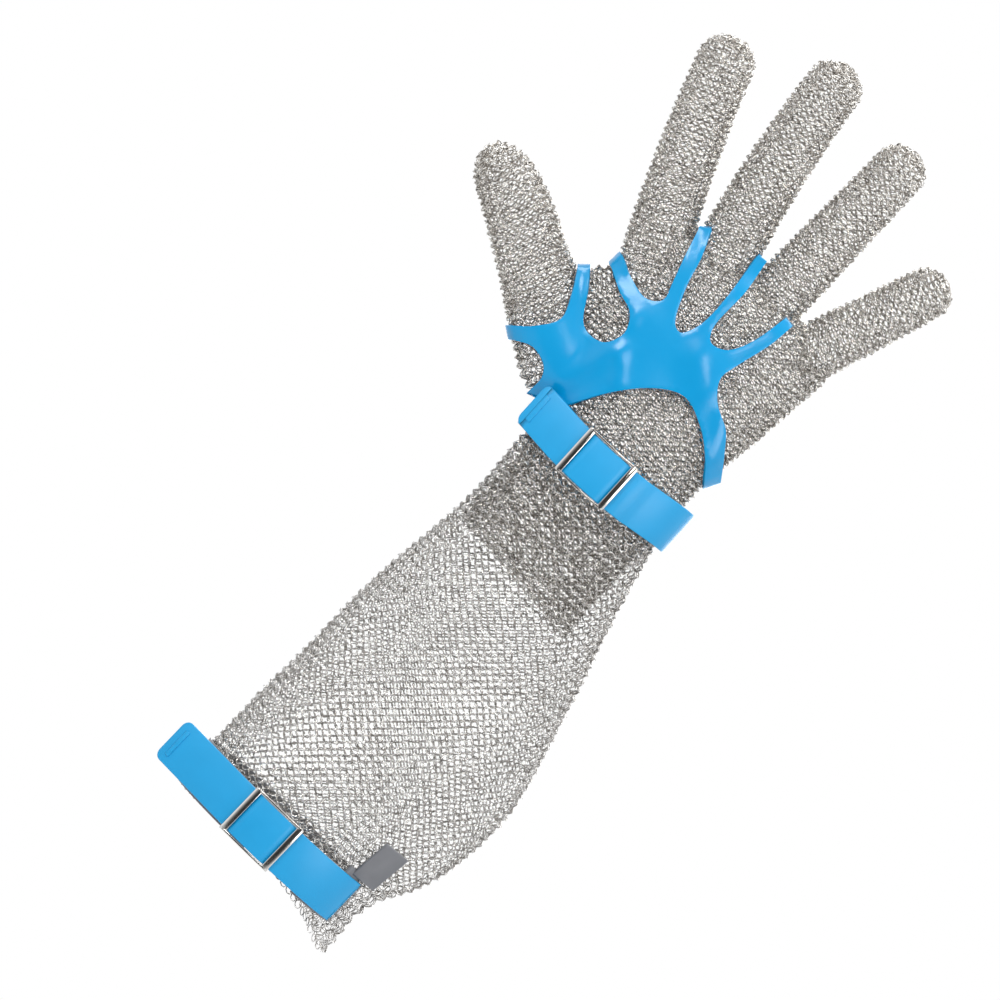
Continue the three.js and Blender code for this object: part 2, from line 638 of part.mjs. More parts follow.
function tensionerOutline() {
  const toShape = ([across, up]) =>
    new THREE.Vector3(across * HAND_WIDTH, CUFF_LENGTH + up * HAND_LENGTH, 0);
  const shape = new THREE.Shape();
  TENSIONER_ARMS.forEach(({ tip, valley }, i) => {
    const next = TENSIONER_ARMS[(i + 1) % TENSIONER_ARMS.length].tip[0];
    const points = [tip[1], ...valley, next].map(toShape);
    const edge = new THREE.CatmullRomCurve3(points, false, 'centripetal');
    const corner = toShape(tip[0]);
    if (i === 0) shape.moveTo(corner.x, corner.y);
    for (const point of edge.getPoints(2 * valley.length).slice(0, -1)) shape.lineTo(point.x, point.y);
    if (i + 1 < TENSIONER_ARMS.length) {
      const end = toShape(next);
      shape.lineTo(end.x, end.y);
    }
  });
  return shape;
}

const throughHand = 2 * HAND_DEPTH;
const prism = new THREE.ExtrudeGeometry(tensionerOutline(), {
  depth: 2 * throughHand,
  bevelEnabled: false,
});
prism.rotateX(Math.PI / 2);
prism.translate(0, throughHand, 0);
const grownHand = (grow) => joined([handBody(grow), ...limbs.map(({ rows }) => limb(rows, grow))]);
const tensioner = grownHand(GAP + TENSIONER_THICKNESS)
  .subtract(grownHand(GAP))
  .intersect(solidOf(prism))
  .subtract(strapRoom);

// Finishes

const finish = (color, roughness, metalness) =>
  new THREE.MeshStandardMaterial({ color, roughness, metalness });
const fineMail = finish(0xb9b4ab, 0.4, 1);
const coarseMail = finish(0xa9a6a1, 0.4, 1);
const blueSheet = finish(0x0b95dc, 0.25, 0);
const blueStrap = finish(0x2299e0, 0.45, 0);
const polishedSteel = finish(0xd6d3cc, 0.15, 1);
const greyBand = finish(0x55565a, 0.4, 0);

function mesh(name, solid, material) {
  const made = new THREE.Mesh(geometryOf(solid), material.clone());
  made.name = name;
  return made;
}

const glove = new THREE.Group();
glove.add(mesh('mail_hand', handMail, fineMail));
for (const { name, solid } of limbMail) glove.add(mesh(name, solid, fineMail));
glove.add(mesh('mail_cuff', cuffMail, coarseMail));
glove.add(mesh('tensioner', tensioner, blueSheet));

const atWrist = new THREE.Group();
atWrist.position.z = wristSeat.height;
atWrist.add(mesh('wrist_strap', wristStrap, blueStrap));
atWrist.add(mesh('wrist_buckle', wristParts.frame, polishedSteel));

const atArm = new THREE.Group();
atArm.position.z = armSeat.height;
atArm.rotation.y = armSeat.tilt;
atArm.add(mesh('cuff_strap', cuffStrap, blueStrap));
atArm.add(mesh('cuff_buckle', armParts.frame, polishedSteel));
atArm.add(mesh('cuff_band', band, greyBand));

glove.add(atWrist, atArm);
export default glove;
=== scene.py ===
import bpy
import numpy as np
from mathutils import Matrix, Vector
from mathutils.geometry import delaunay_2d_cdt


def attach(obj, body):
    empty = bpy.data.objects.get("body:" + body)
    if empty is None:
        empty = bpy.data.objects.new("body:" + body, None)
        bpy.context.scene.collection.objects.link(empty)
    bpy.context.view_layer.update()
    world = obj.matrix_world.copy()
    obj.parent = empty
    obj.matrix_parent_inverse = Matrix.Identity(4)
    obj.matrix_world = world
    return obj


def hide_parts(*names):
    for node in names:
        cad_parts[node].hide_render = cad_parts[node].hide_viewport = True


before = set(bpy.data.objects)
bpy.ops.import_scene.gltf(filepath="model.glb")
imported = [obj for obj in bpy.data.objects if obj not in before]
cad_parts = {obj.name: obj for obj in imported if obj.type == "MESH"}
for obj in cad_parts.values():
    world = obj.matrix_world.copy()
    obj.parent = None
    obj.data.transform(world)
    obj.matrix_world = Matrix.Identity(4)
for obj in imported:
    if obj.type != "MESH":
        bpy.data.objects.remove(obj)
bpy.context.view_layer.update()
print("frame loaded:", len(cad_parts), "nodes")

# The sizes that all the pieces share, as in the part's source
glove = {
    "wristHeight": 217.0,  # middle of the wrist strap
    "handLength": 190.0,
    "handWidth": 100.0,
    "handDepth": 32.0,
    "wristWidth": 70.0,
    "wristDepth": 44.0,
    "skirtLength": 57.0,
    "skirtSlant": -0.14,
    "cuffWidth": 110.0,
    "cuffDepth": 72.0,
    "armWidth": 84.0,
    "armDepth": 68.0,
    "strapWidth": 20.0,
    "armStrapHeight": 15.5,
    "pouchSpread": 0.4,
    "hemRise": 7.0,  # on the thumb's side, where the strap hides the hem
    "hemDrop": 6.0,
    "hemFade": 1.5,  # height at which the hem's shift ends, in heights of the cuff strap
    "neckEase": 2.3,  # from the hand's mail out to the cuff's
    "fold": 0.9,  # depth of the loose cuff's waves
    "gather": 1.1,  # depth of the gathers past the cuff strap's end
}
wristHeight, handLength, handWidth = (glove[key] for key in ("wristHeight", "handLength", "handWidth"))
strapWidth, armStrapHeight = glove["strapWidth"], glove["armStrapHeight"]
leastHalf = 0.2  # half width or depth that a tube keeps where it closes


# Each sRGB hex colour is turned to the linear values that a shader takes.
def linearColour(hexValue):
    parts = np.array([(hexValue >> shift) & 255 for shift in (16, 8, 0)]) / 255
    linear = np.where(parts <= 0.04045, parts / 12.92, ((parts + 0.055) / 1.055) ** 2.4)
    return (*linear.tolist(), 1.0)


# One node with its settings, and a link for each input that is given as an output socket. An input is
# named, with _ for a space, or numbered, as at6.
def addNode(tree, kind, settings=None, **inputs):
    node = tree.nodes.new("ShaderNode" + kind)
    for key, value in (settings or {}).items():
        setattr(node, key, value)
    for key, value in inputs.items():
        socket = node.inputs[int(key[2:]) if key.startswith("at") else key.replace("_", " ")]
        if isinstance(value, bpy.types.NodeSocket):
            tree.links.new(value, socket)
        else:
            socket.default_value = value
    return node


colourMix = {"data_type": "RGBA"}


# The two colours between which a mix node goes.
def shades(dark, light):
    return {"at6": linearColour(dark), "at7": linearColour(light)}


# A material starts as a bare Principled surface with its constant values set on its own sockets.
def startMaterial(name, **values):
    material = bpy.data.materials.new(name)
    material.use_nodes = True
    tree = material.node_tree
    surface = tree.nodes["Principled BSDF"]
    for key, value in values.items():
        surface.inputs[key.replace("_", " ")].default_value = value
    place = addNode(tree, "TexCoord").outputs["Object"]
    return material, tree, surface, place


# Output sockets are linked to inputs of the surface, named as for addNode.
def feed(tree, surface, **sockets):
    for key, socket in sockets.items():
        tree.links.new(socket, surface.inputs[key.replace("_", " ")])


# Drawn and welded stainless wire: warm grey metal, softly polished, with duller and browner patches
# where rings rub, which keeps the mail from one even tone.
def ringSteel(name, light, dark, roughness):
    material, tree, surface, place = startMaterial(name, Metallic=1.0)
    patches = addNode(tree, "TexNoise", Vector=place, Scale=420.0, Detail=3.0)  # patches of 2.4 mm
    tone = addNode(tree, "MapRange", Value=patches.outputs["Fac"], From_Min=0.38, From_Max=0.6)
    colour = addNode(tree, "Mix", colourMix, Factor=tone.outputs["Result"], **shades(dark, light))
    grain = addNode(tree, "TexNoise", Vector=place, Scale=2500.0, Detail=2.0)  # die marks, 0.4 mm
    ends = {"To_Min": roughness - 0.08, "To_Max": roughness + 0.1}
    gloss = addNode(tree, "MapRange", Value=grain.outputs["Fac"], **ends)
    feed(tree, surface, Base_Color=colour.outputs[2], Roughness=gloss.outputs["Result"])
    return material


# Cast polyurethane sheet: clear strong blue, glossy, with the faint waviness of an elastic skin, which
# softens the edges of its highlights.
def glossyPolyurethane(name):
    material, tree, surface, place = startMaterial(name, IOR=1.5, Specular_IOR_Level=0.42)
    clouds = addNode(tree, "TexNoise", Vector=place, Scale=60.0, Detail=4.0)  # clouds of 16 mm
    blues = shades(0x0089C0, 0x0092C8)
    colour = addNode(tree, "Mix", colourMix, Factor=clouds.outputs["Fac"], **blues)
    gloss = addNode(tree, "MapRange", Value=clouds.outputs["Fac"], To_Min=0.18, To_Max=0.3)
    waves = addNode(tree, "TexNoise", Vector=place, Scale=130.0, Detail=2.0)  # waves of 8 mm
    bump = addNode(tree, "Bump", Height=waves.outputs["Fac"], Strength=0.12, Distance=0.0008)
    feed(tree, surface, Base_Color=colour.outputs[2], Roughness=gloss.outputs["Result"])
    feed(tree, surface, Normal=bump.outputs["Normal"])
    return material


# Moulded polyurethane strap: even satin blue with a fine mould grain and slightly rubbed patches.
def satinPolyurethane(name, light, dark, roughness):
    material, tree, surface, place = startMaterial(name, IOR=1.5, Specular_IOR_Level=0.5)
    patches = addNode(tree, "TexNoise", Vector=place, Scale=90.0, Detail=5.0)  # patches of 11 mm
    colour = addNode(tree, "Mix", colourMix, Factor=patches.outputs["Fac"], **shades(dark, light))
    ends = {"To_Min": roughness - 0.06, "To_Max": roughness + 0.08}
    gloss = addNode(tree, "MapRange", Value=patches.outputs["Fac"], **ends)
    grain = addNode(tree, "TexNoise", Vector=place, Scale=1800.0, Detail=3.0)  # mould grain, 0.5 mm
    bump = addNode(tree, "Bump", Height=grain.outputs["Fac"], Strength=0.15, Distance=0.0002)
    feed(tree, surface, Base_Color=colour.outputs[2], Roughness=gloss.outputs["Result"])
    feed(tree, surface, Normal=bump.outputs["Normal"])
    return material


# Pressed and polished stainless strip: bright, with faint polishing streaks across the bars.
def polishedSteel(name):
    material, tree, surface, place = startMaterial(name, Metallic=1.0)
    stretched = addNode(tree, "Mapping", Vector=place, Scale=(4.0, 4.0, 0.4))
    streaks = addNode(tree, "TexNoise", Vector=stretched.outputs["Vector"], Scale=900.0, Detail=3.0)
    gloss = addNode(tree, "MapRange", Value=streaks.outputs["Fac"], To_Min=0.06, To_Max=0.2)
    silvers = shades(0xCFCBC4, 0xE4E1DB)
    colour = addNode(tree, "Mix", colourMix, Factor=streaks.outputs["Fac"], **silvers)
    feed(tree, surface, Base_Color=colour.outputs[2], Roughness=gloss.outputs["Result"])
    return material


# The material of each slot
materials = {
    "fine_mail": ringSteel("fine drawn stainless rings", 0xF2EFE9, 0x928B82, 0.22),
    "coarse_mail": ringSteel("coarse drawn stainless rings", 0xECEAE6, 0x8F8A83, 0.2),
    "tensioner_sheet": glossyPolyurethane("cast glossy polyurethane"),
    "strap": satinPolyurethane("moulded satin polyurethane", 0x0698D0, 0x0290C6, 0.42),
    "band": satinPolyurethane("smooth smoky grey plastic", 0x7C7D80, 0x636468, 0.35),
    "buckle_steel": polishedSteel("polished stainless strip"),
}
print("materials made")


# A finished mesh becomes an object that rides on the glove and takes the place of the CAD nodes.
def dressed(name, mesh, slotName, *nodes):
    mesh.polygons.foreach_set("use_smooth", np.ones(len(mesh.polygons), bool))
    mesh.update(calc_edges=True)
    mesh.materials.append(materials[slotName])
    piece = bpy.data.objects.new(name, mesh)
    bpy.context.scene.collection.objects.link(piece)
    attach(piece, "root")
    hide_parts(*nodes)
    return piece


# A mesh object from points in millimetres and faces that all have as many corners.
def meshObject(name, points, faces, slotName, *nodes):
    mesh = bpy.data.meshes.new(name)
    mesh.vertices.add(len(points))
    mesh.vertices.foreach_set("co", (points * 0.001).astype(np.float32).ravel())
    mesh.loops.add(faces.size)
    mesh.loops.foreach_set("vertex_index", faces.astype(np.int32).ravel())
    mesh.polygons.add(len(faces))
    mesh.polygons.foreach_set("loop_start", np.arange(0, faces.size, faces.shape[1], dtype=np.int32))
    return dressed(name, mesh, slotName, *nodes)


# Between two rows a cubic whose slope at a row is the chord of the rows beside it.
def smoothRows(knots, values, at):
    at = np.clip(at, knots[0], knots[-1])
    i = np.clip(np.searchsorted(knots, at, side="right") - 1, 0, len(knots) - 2)
    before, after = np.maximum(i - 1, 0), np.minimum(i + 2, len(knots) - 1)
    span = (knots[i + 1] - knots[i])[:, None]
    t = (at - knots[i])[:, None] / span
    slopeLow = span * (values[i + 1] - values[before]) / (knots[i + 1] - knots[before])[:, None]
    slopeHigh = span * (values[after] - values[i]) / (knots[after] - knots[i])[:, None]
    curve = values[i] * (2 * t**3 - 3 * t**2 + 1) + values[i + 1] * (3 * t**2 - 2 * t**3)
    return curve + slopeLow * (t**3 - 2 * t**2 + t) + slopeHigh * (t**3 - t**2)


# The quads of a grid of points, whose second index runs fastest. A closed way goes back to its start.
def gridFaces(rows, columns, rowsClosed=False, columnsClosed=False):
    ends = (rows - 1 + rowsClosed, columns - 1 + columnsClosed)
    i, k = np.meshgrid(np.arange(ends[0]), np.arange(ends[1]), indexing="ij")
    nextI, nextK = (i + 1) % rows, (k + 1) % columns
    corners = [i * columns + k, nextI * columns + k, nextI * columns + nextK, i * columns + nextK]
    return np.stack(corners, axis=-1).reshape(-1, 4)


# Vectors over their own length.
def unit(vectors):
    return vectors / np.linalg.norm(vectors, axis=-1, keepdims=True)


# Lengths along a line, added up from its start.
def lengthsAlong(line):
    return np.concatenate([[0], np.cumsum(np.linalg.norm(np.diff(line, axis=0), axis=1))])


# A tube is a table with a row for each section: its middle, its line's direction, half widths to the
# left and right, half depths to the front and back, bulge, and how far it has closed at a tip.
def makeTube(middle, along, halves, pouch, closing, shift=None, folds=None):
    deep = unit(np.cross(along, unit(np.cross((0.0, 1.0, 0.0), along))))
    wide = np.cross(deep, along)
    table = np.column_stack([middle, along, wide, deep, halves, pouch, closing])
    return {"table": table, "shift": shift, "folds": folds}


# The half size of a row on the side that the sign tells. Column 12 starts the widths and 14 the depths.
def halfAt(row, column, sign, grow):
    return np.maximum(np.where(sign < 0, row[..., column], row[..., column + 1]) + grow, leastHalf)


# Middle + wide * (half width * cos a + bulge * exp(-(sin a / spread)^4)) + deep * half depth * sin a.
def tubePoints(tube, t, angle, grow=0.0):
    table = tube["table"]
    i = np.clip(t.astype(int), 0, len(table) - 2)
    share = (t - i)[..., None]
    row = table[i] * (1 - share) + table[i + 1] * share
    across, high = np.cos(angle), np.sin(angle)
    if tube["folds"]:
        grow = grow + tube["folds"](angle, row[..., 2])
    width, depth = halfAt(row, 12, across, grow), halfAt(row, 14, high, grow)
    bulge = np.where(across > 0, row[..., 16] * np.exp(-((high / glove["pouchSpread"]) ** 4)), 0)
    points = row[..., 0:3] + row[..., 3:6] * (grow * (1 - row[..., 17]))[..., None]
    points = points + row[..., 6:9] * (width * across + bulge)[..., None]
    points = points + row[..., 9:12] * (depth * high)[..., None]
    if tube["shift"]:
        points[..., 2] += tube["shift"](points[..., 0], points[..., 2])
    return points


# Wrist and palm from the skirt up: up, left, right, front, back, in shares as in the part's source.
wristSections = np.array([
    [-1.15, 0.45, 0.5, 0.49, 0.49],
    [-0.4, 0.435, 0.495, 0.49, 0.49],
    [-0.2, 0.455, 0.505, 0.5, 0.5],
    [0, 0.485, 0.515, 0.5, 0.5],
])
palmSections = np.array([
    [0.055, 0.35, 0.355, 0.66, 0.68],
    [0.14, 0.42, 0.36, 0.61, 0.67],
    [0.25, 0.57, 0.395, 0.54, 0.6],
    [0.277, 0.59, 0.402, 0.528, 0.578],
    [0.303, 0.59, 0.408, 0.515, 0.554],
    [0.333, 0.53, 0.415, 0.5, 0.528],
    [0.355, 0.52, 0.42, 0.49, 0.51],
    [0.45, 0.545, 0.44, 0.45, 0.46],
    [0.485, 0.53, 0.43, 0.38, 0.39],
    [0.505, 0.49, 0.39, 0.28, 0.28],
    [0.515, 0.44, 0.34, 0.18, 0.18],
])
# The cuff: up, left, right, front, back, pouch. The first rows lie inside the lower strap.
gripSections = np.array([
    [-0.5, 0.53, 0.475, 0.5, 0.5, 0.1],
    [0.2, 0.53, 0.47, 0.5, 0.5, 0.095],
    [0.9, 0.53, 0.47, 0.5, 0.5, 0.085],
    [1.35, 0.53, 0.47, 0.5, 0.5, 0.11],
    [1.72, 0.53, 0.475, 0.5, 0.5, 0.145],
])
cuffSections = np.array([
    [0.165, 0.405, 0.43, 0.49, 0.5, 0.1],
    [0.215, 0.403, 0.485, 0.5, 0.52, 0.085],
    [0.29, 0.398, 0.53, 0.5, 0.53, 0.065],
    [0.39, 0.384, 0.555, 0.5, 0.53, 0.05],
    [0.48, 0.372, 0.545, 0.485, 0.51, 0.04],
    [0.57, 0.354, 0.515, 0.46, 0.48, 0.03],
    [0.665, 0.333, 0.472, 0.425, 0.44, 0.02],
    [0.755, 0.317, 0.425, 0.39, 0.4, 0.01],
    [0.83, 0.309, 0.395, 0.365, 0.37, 0],
])


# Rows of shares become heights and half sizes in millimetres.
def sizedRows(sections, base, length, width, depth):
    pouch = sections[:, 5] * width if sections.shape[1] > 5 else np.zeros(len(sections))
    heights = base + sections[:, 0] * length
    return np.column_stack([heights, sections[:, 1:3] * width, sections[:, 3:5] * depth, pouch])


handRows = np.vstack([
    sizedRows(wristSections, wristHeight, glove["skirtLength"], glove["wristWidth"], glove["wristDepth"]),
    sizedRows(palmSections, wristHeight, handLength, handWidth, glove["handDepth"]),
])
neckHeights = wristHeight + np.array([-0.7, -0.5, 0, 0.25]) * strapWidth
neckSections = smoothRows(handRows[:, 0], handRows[:, 1:], neckHeights)
neckSections[:, :4] += glove["neckEase"]
neckSections[0, :4] += 1
cuffRows = np.vstack([
    sizedRows(gripSections, 0, armStrapHeight, glove["armWidth"], glove["armDepth"]),
    sizedRows(cuffSections, 0, wristHeight, glove["cuffWidth"], glove["cuffDepth"]),
    np.column_stack([neckHeights, neckSections]),
])


# The hem lies a little over the mouth and sags to the loose side, which dies out over the strap.
def hemShift(x, z):
    fade = np.clip(1 - z / (glove["hemFade"] * armStrapHeight), 0, 1)
    share = np.maximum(2 * x / glove["armWidth"], 0)
    sag = glove["hemRise"] - (glove["hemRise"] + glove["hemDrop"]) * share**2
    return fade * np.maximum(sag, -glove["hemDrop"])


# The skirt's lower edge leans, and the lean dies out up to the neck.
def skirtShift(x, z):
    bottom = wristHeight - glove["skirtLength"]
    return glove["skirtSlant"] * x * np.clip(1 - (z - bottom) / (neckHeights[0] - bottom), 0, 1)


# Shallow folds of the loose cuff: waves that run up it and lean, deepest half way between the straps,
# and gathers past the lower strap's end, where its free side is bunched.
# Waves = fold * sin(pi * share of the way up)^2 * (sin(3 a + z / 26) + sin(5 a - z / 17) / 2)
# Gathers = gather * sin(15 a + z / 8) * (how far to the right) * exp(-((z - 14) / 22)^2)
def cuffFolds(angle, z):
    low, high = 1.7 * armStrapHeight, neckHeights[0]
    share = np.clip((z - low) / (high - low), 0, 1)
    waves = np.sin(3 * angle + z / 26) + 0.5 * np.sin(5 * angle - z / 17)
    rightness = np.clip((np.cos(angle) - 0.55) / 0.3, 0, 1)
    gathers = np.sin(15 * angle + z / 8) * rightness * np.exp(-(((z - 14) / 22) ** 2))
    return glove["fold"] * np.sin(np.pi * share) ** 2 * waves + glove["gather"] * gathers


# A tube of upright sections between two heights, one for each millimetre.
def uprightTube(rows, low, high, shift, folds=None):
    heights = np.linspace(low, high, int(high - low) + 1)
    values = smoothRows(rows[:, 0], rows[:, 1:], heights)
    middle = np.column_stack([0 * heights, 0 * heights, heights])
    along = np.tile((0.0, 0.0, 1.0), (len(heights), 1))
    return makeTube(middle, along, values[:, :4], values[:, 4], np.ones(len(heights)), shift, folds)


# Fingers: across and up of the root, reach, lean and what it loses up to the tip, width, taper.
fingers = {
    "index": (-0.395, 0.373, 0.55, 26, 9, 1.05, 0.86),
    "middle": (-0.19, 0.458, 0.55, 14, 10, 1.04, 0.86),
    "ring": (0.055, 0.458, 0.5, -2, 0, 0.99, 0.85),
    "little": (0.26, 0.416, 0.407, -23, -3.5, 0.95, 0.84),
}
fingerForm = {"width": 27.0, "depthShare": 0.82, "curl": 8.0, "rounded": 0.42, "tipRest": 0.12, "rows": 70}


# The middle line leans by -lean + bend * s and curls by curl * s. The width tapers, and at the tip
# follows a quarter circle.
def fingerTube(across, up, reach, lean, bend, width, taper):
    length = reach * handLength
    rootWidth = width * fingerForm["width"]
    straight = 1 - fingerForm["rounded"] * rootWidth * taper / length
    turn = np.linspace(0, np.pi / 2, 20)[1:]
    rows = fingerForm["rows"]
    share = np.concatenate([np.linspace(0, straight, rows), straight + (1 - straight) * np.sin(turn)])
    tilt, curl = np.radians(-lean + bend * share), np.radians(fingerForm["curl"] * share)
    heading = np.column_stack([np.sin(tilt), np.sin(curl), np.cos(tilt)])
    step = np.diff(share, prepend=0)[:, None] * length
    root = (across * handWidth, 0, wristHeight + up * handLength)
    middle = root + np.cumsum(heading * step, axis=0)
    closing = np.maximum(np.concatenate([np.ones(rows), np.cos(turn)]), fingerForm["tipRest"])
    half = rootWidth * (1 - (1 - taper) * share) * closing / 2
    deep = half * fingerForm["depthShare"]
    halves = np.column_stack([half, half, deep, deep])
    return makeTube(middle, unit(heading), halves, 0 * half, closing)


thumbForm = {"width": 30.0, "closing": 0.44, "rows": 110}
thumbWidth = thumbForm["width"]
# Thumb from the ball inside the palm to the tip: across, up, width, depth, shift to the back.
thumbSections = np.array([
    [-0.25, 0.1, 1.2, 0.7, 0.03],
    [-0.42, 0.116, 1.27, 0.88, 0.05],
    [-0.53, 0.145, 1.17, 0.86, 0.07],
    [-0.66, 0.191, 1.13, 0.83, 0.1],
    [-0.81, 0.238, 1.03, 0.8, 0.13],
    [-0.96, 0.288, 0.98, 0.77, 0.17],
    [-1.08, 0.32, 0.9, 0.72, 0.2],
    [-1.16, 0.332, 0.77, 0.62, 0.22],
    [-1.215, 0.336, 0.55, 0.46, 0.23],
    [-1.25, 0.337, 0.22, 0.18, 0.23],
])


# The table's rows joined by cubics over the distance along the middle line. The tip closes where the
# half width falls below closing * width.
def thumbTube():
    across, up, width, depth, back = thumbSections.T
    middle = np.column_stack([across * handWidth, back * thumbWidth, wristHeight + up * handLength])
    reached = lengthsAlong(middle)
    values = np.column_stack([middle, width * thumbWidth / 2, depth * thumbWidth / 2])
    dense = smoothRows(reached, values, np.linspace(0, reached[-1], thumbForm["rows"]))
    along = unit(np.gradient(dense[:, :3], axis=0))
    closing = np.minimum(dense[:, 3] / (thumbForm["closing"] * thumbWidth), 1)
    halves = dense[:, [3, 3, 4, 4]]
    return makeTube(dense[:, :3], along, halves, 0 * closing, closing)


tubes = {
    "hand": uprightTube(handRows, wristHeight - glove["skirtLength"], handRows[-1, 0], skirtShift),
    "cuff": uprightTube(cuffRows, 0, neckHeights[-1], hemShift, cuffFolds),
    "thumb": thumbTube(),
}
tubes.update({name: fingerTube(*row) for name, row in fingers.items()})


# Share of the way from a tube's middle line to its wall, over 1 outside and far past its ends. The
# points are taken in blocks, to save memory.
def tubeShare(tube, points, grow):
    table = tube["table"]
    far, slab, blockSize = 9.0, 1.5, 2000  # slab: reach of a table's row along the line, in mm
    share = np.full(len(points), far)
    for block in np.array_split(np.arange(len(points)), max(len(points) // blockSize, 1)):
        away = points[block, None, :] - table[None, :, 0:3]
        nearest = np.argmin(np.sum(away * away, axis=2), axis=1)
        row = table[nearest]
        offset = points[block] - row[:, 0:3]
        x, y, s = (np.sum(offset * row[:, k : k + 3], axis=1) for k in (6, 9, 3))
        inside = np.hypot(x / halfAt(row, 12, x, grow), y / halfAt(row, 14, y, grow))
        share[block] = np.where(np.abs(s) < slab, inside, far)
    return share


# European mail: each row's rings lean over, the next row's lean back, and each passes through two
# rings of the row above and two of the row below.
# Across and up: spacing of rings and rows in mm. Lean, yaw and uneven: degrees. Sink: mm into the wall.
mail = {
    "ringRadius": 1.75,  # middle of the wire
    "wireRadius": 0.27,
    "fine": {"across": 3.3, "up": 1.42, "lean": 47.0, "yaw": 14.0, "uneven": 10.0, "sink": 1.3},
    "coarse": {"across": 4.05, "up": 1.85, "lean": 31.0, "yaw": 0.0, "uneven": 7.0, "sink": 1.0},
    "sides": 8,
    "wireSides": 3,
    "drift": 0.09,  # of a ring's middle, in mm
    "cuffSplit": 105.0,  # height between the cuff's lower and upper pieces, which keeps them light
}
rng = np.random.default_rng(11)


# Heights of the rows, as far apart along the wall as the weave asks.
def rowPlaces(tube, grow, spacing):
    last = len(tube["table"]) - 1
    t = np.linspace(0, last, 3 * last)
    walls = [tubePoints(tube, t, np.full_like(t, angle), grow) for angle in np.arange(4) * np.pi / 2]
    steps = np.mean([np.linalg.norm(np.diff(wall, axis=0), axis=1) for wall in walls], axis=0)
    reached = np.concatenate([[0], np.cumsum(steps)])
    return np.interp(np.arange(int(reached[-1] / spacing) + 1) * spacing, reached, t)


# Angles of the rings of one row. Each panel's rings are spaced out from its middle to the two side
# seams, and a seam ring fills what is left between the panels.
def ringPlaces(tube, grow, weave):
    rows = rowPlaces(tube, grow, weave["up"])
    fan = np.linspace(0, np.pi / 2, 41)
    spacing = weave["across"]
    places = []
    for panel in (-np.pi / 2, np.pi / 2):
        for way in (1, -1):
            angles = panel + way * fan
            t, angle = np.meshgrid(rows, angles, indexing="ij")
            wall = tubePoints(tube, t, angle, grow)
            lengths = np.linalg.norm(np.diff(wall, axis=1), axis=2)
            reached = np.concatenate([np.zeros((len(rows), 1)), np.cumsum(lengths, axis=1)], axis=1)
            for j, row in enumerate(rows):
                odd = j % 2
                first = 0.5 * odd if odd or way > 0 else 1
                at = np.arange(first, reached[j, -1] / spacing - 0.25) * spacing  # 0.25 is kept free
                found = np.interp(at, reached[j], angles)
                places.append(np.column_stack([np.full(len(at), row), found, np.full(len(at), odd)]))
                left = reached[j, -1] - (at[-1] if len(at) else 0)
                if panel < 0 and left > 0.6 * spacing:
                    places.append(np.array([[row, angles[-1], odd]]))
    return np.vstack(places)


# Where rings sit, with the direction round the tube, the outward direction and the row's parity.
def ringSeats(tube, weave):
    grow = -weave["sink"]
    t, angle, odd = ringPlaces(tube, grow, weave).T
    centre = tubePoints(tube, t, angle, grow)
    turn = tubePoints(tube, t, angle + 0.01, grow) - tubePoints(tube, t, angle - 0.01, grow)
    above, below = np.minimum(t + 0.3, len(tube["table"]) - 1.0), np.maximum(t - 0.3, 0)
    rise = tubePoints(tube, above, angle, grow) - tubePoints(tube, below, angle, grow)
    around = unit(turn)
    out = unit(np.cross(around, rise))
    return {"centre": centre, "around": around, "out": out, "odd": odd, "angle": angle}


# The seats at which keep is true.
def picked(seats, keep):
    return {key: value[keep] for key, value in seats.items()}


# The vectors turned from one direction towards another, by an angle for each.
def turned(start, towards, angles):
    return np.cos(angles)[:, None] * start + np.sin(angles)[:, None] * towards


# Ring point = centre + (R + r cos b)(cos a * around + sin a * leant) + r sin b * axis, where leant is
# the upward direction turned by the lean about the row. Yaw lays a row's rings like shingles.
def ringMesh(seats, weave):
    count = len(seats["centre"])
    lean, yaw, swing = np.radians(rng.normal(0, weave["uneven"], (3, count)))
    lean = (lean + np.radians(weave["lean"])) * np.where(seats["odd"] > 0, 1, -1)
    yaw += np.radians(weave["yaw"])
    up = np.cross(seats["out"], seats["around"])
    around = turned(seats["around"], up, 0.6 * swing)
    up = np.cross(seats["out"], around)
    around = turned(around, seats["out"], yaw)
    leant = turned(up, np.cross(around, up), lean)
    axis = np.cross(around, leant)
    centre = seats["centre"] + rng.normal(0, mail["drift"], (count, 3))
    a = np.arange(mail["sides"]) * 2 * np.pi / mail["sides"]
    b = np.arange(mail["wireSides"]) * 2 * np.pi / mail["wireSides"]
    spoke = np.cos(a)[None, :, None] * around[:, None, :] + np.sin(a)[None, :, None] * leant[:, None, :]
    reach = mail["ringRadius"] + mail["wireRadius"] * np.cos(b)
    points = (
        centre[:, None, None, :]
        + spoke[:, :, None, :] * reach[None, None, :, None]
        + axis[:, None, None, :] * (mail["wireRadius"] * np.sin(b))[None, None, :, None]
    )
    quads = gridFaces(mail["sides"], mail["wireSides"], True, True)
    faces = quads[None] + (np.arange(count) * mail["sides"] * mail["wireSides"])[:, None, None]
    return points.reshape(-1, 3), faces.reshape(-1, 4)


ringCounts = []
limbNames = ["thumb", *fingers]


# All the rings on the seats as one joined mesh, of the fine or the coarse weave.
def mailPiece(name, seats, weave, node):
    ringCounts.append(len(seats["centre"]))
    points, faces = ringMesh(seats, mail[weave])
    return meshObject(name, points, faces, weave + "_mail", node)


# A tube's rings stop where they would lie inside another tube of the hand, half a millimetre under
# that one's own rings.
def openSeats(name):
    seats = ringSeats(tubes[name], mail["fine"])
    keep = np.ones(len(seats["centre"]), bool)
    for other in ["hand", *limbNames]:
        if other != name:
            keep &= tubeShare(tubes[other], seats["centre"], -mail["fine"]["sink"] - 0.5) > 1
    return picked(seats, keep)


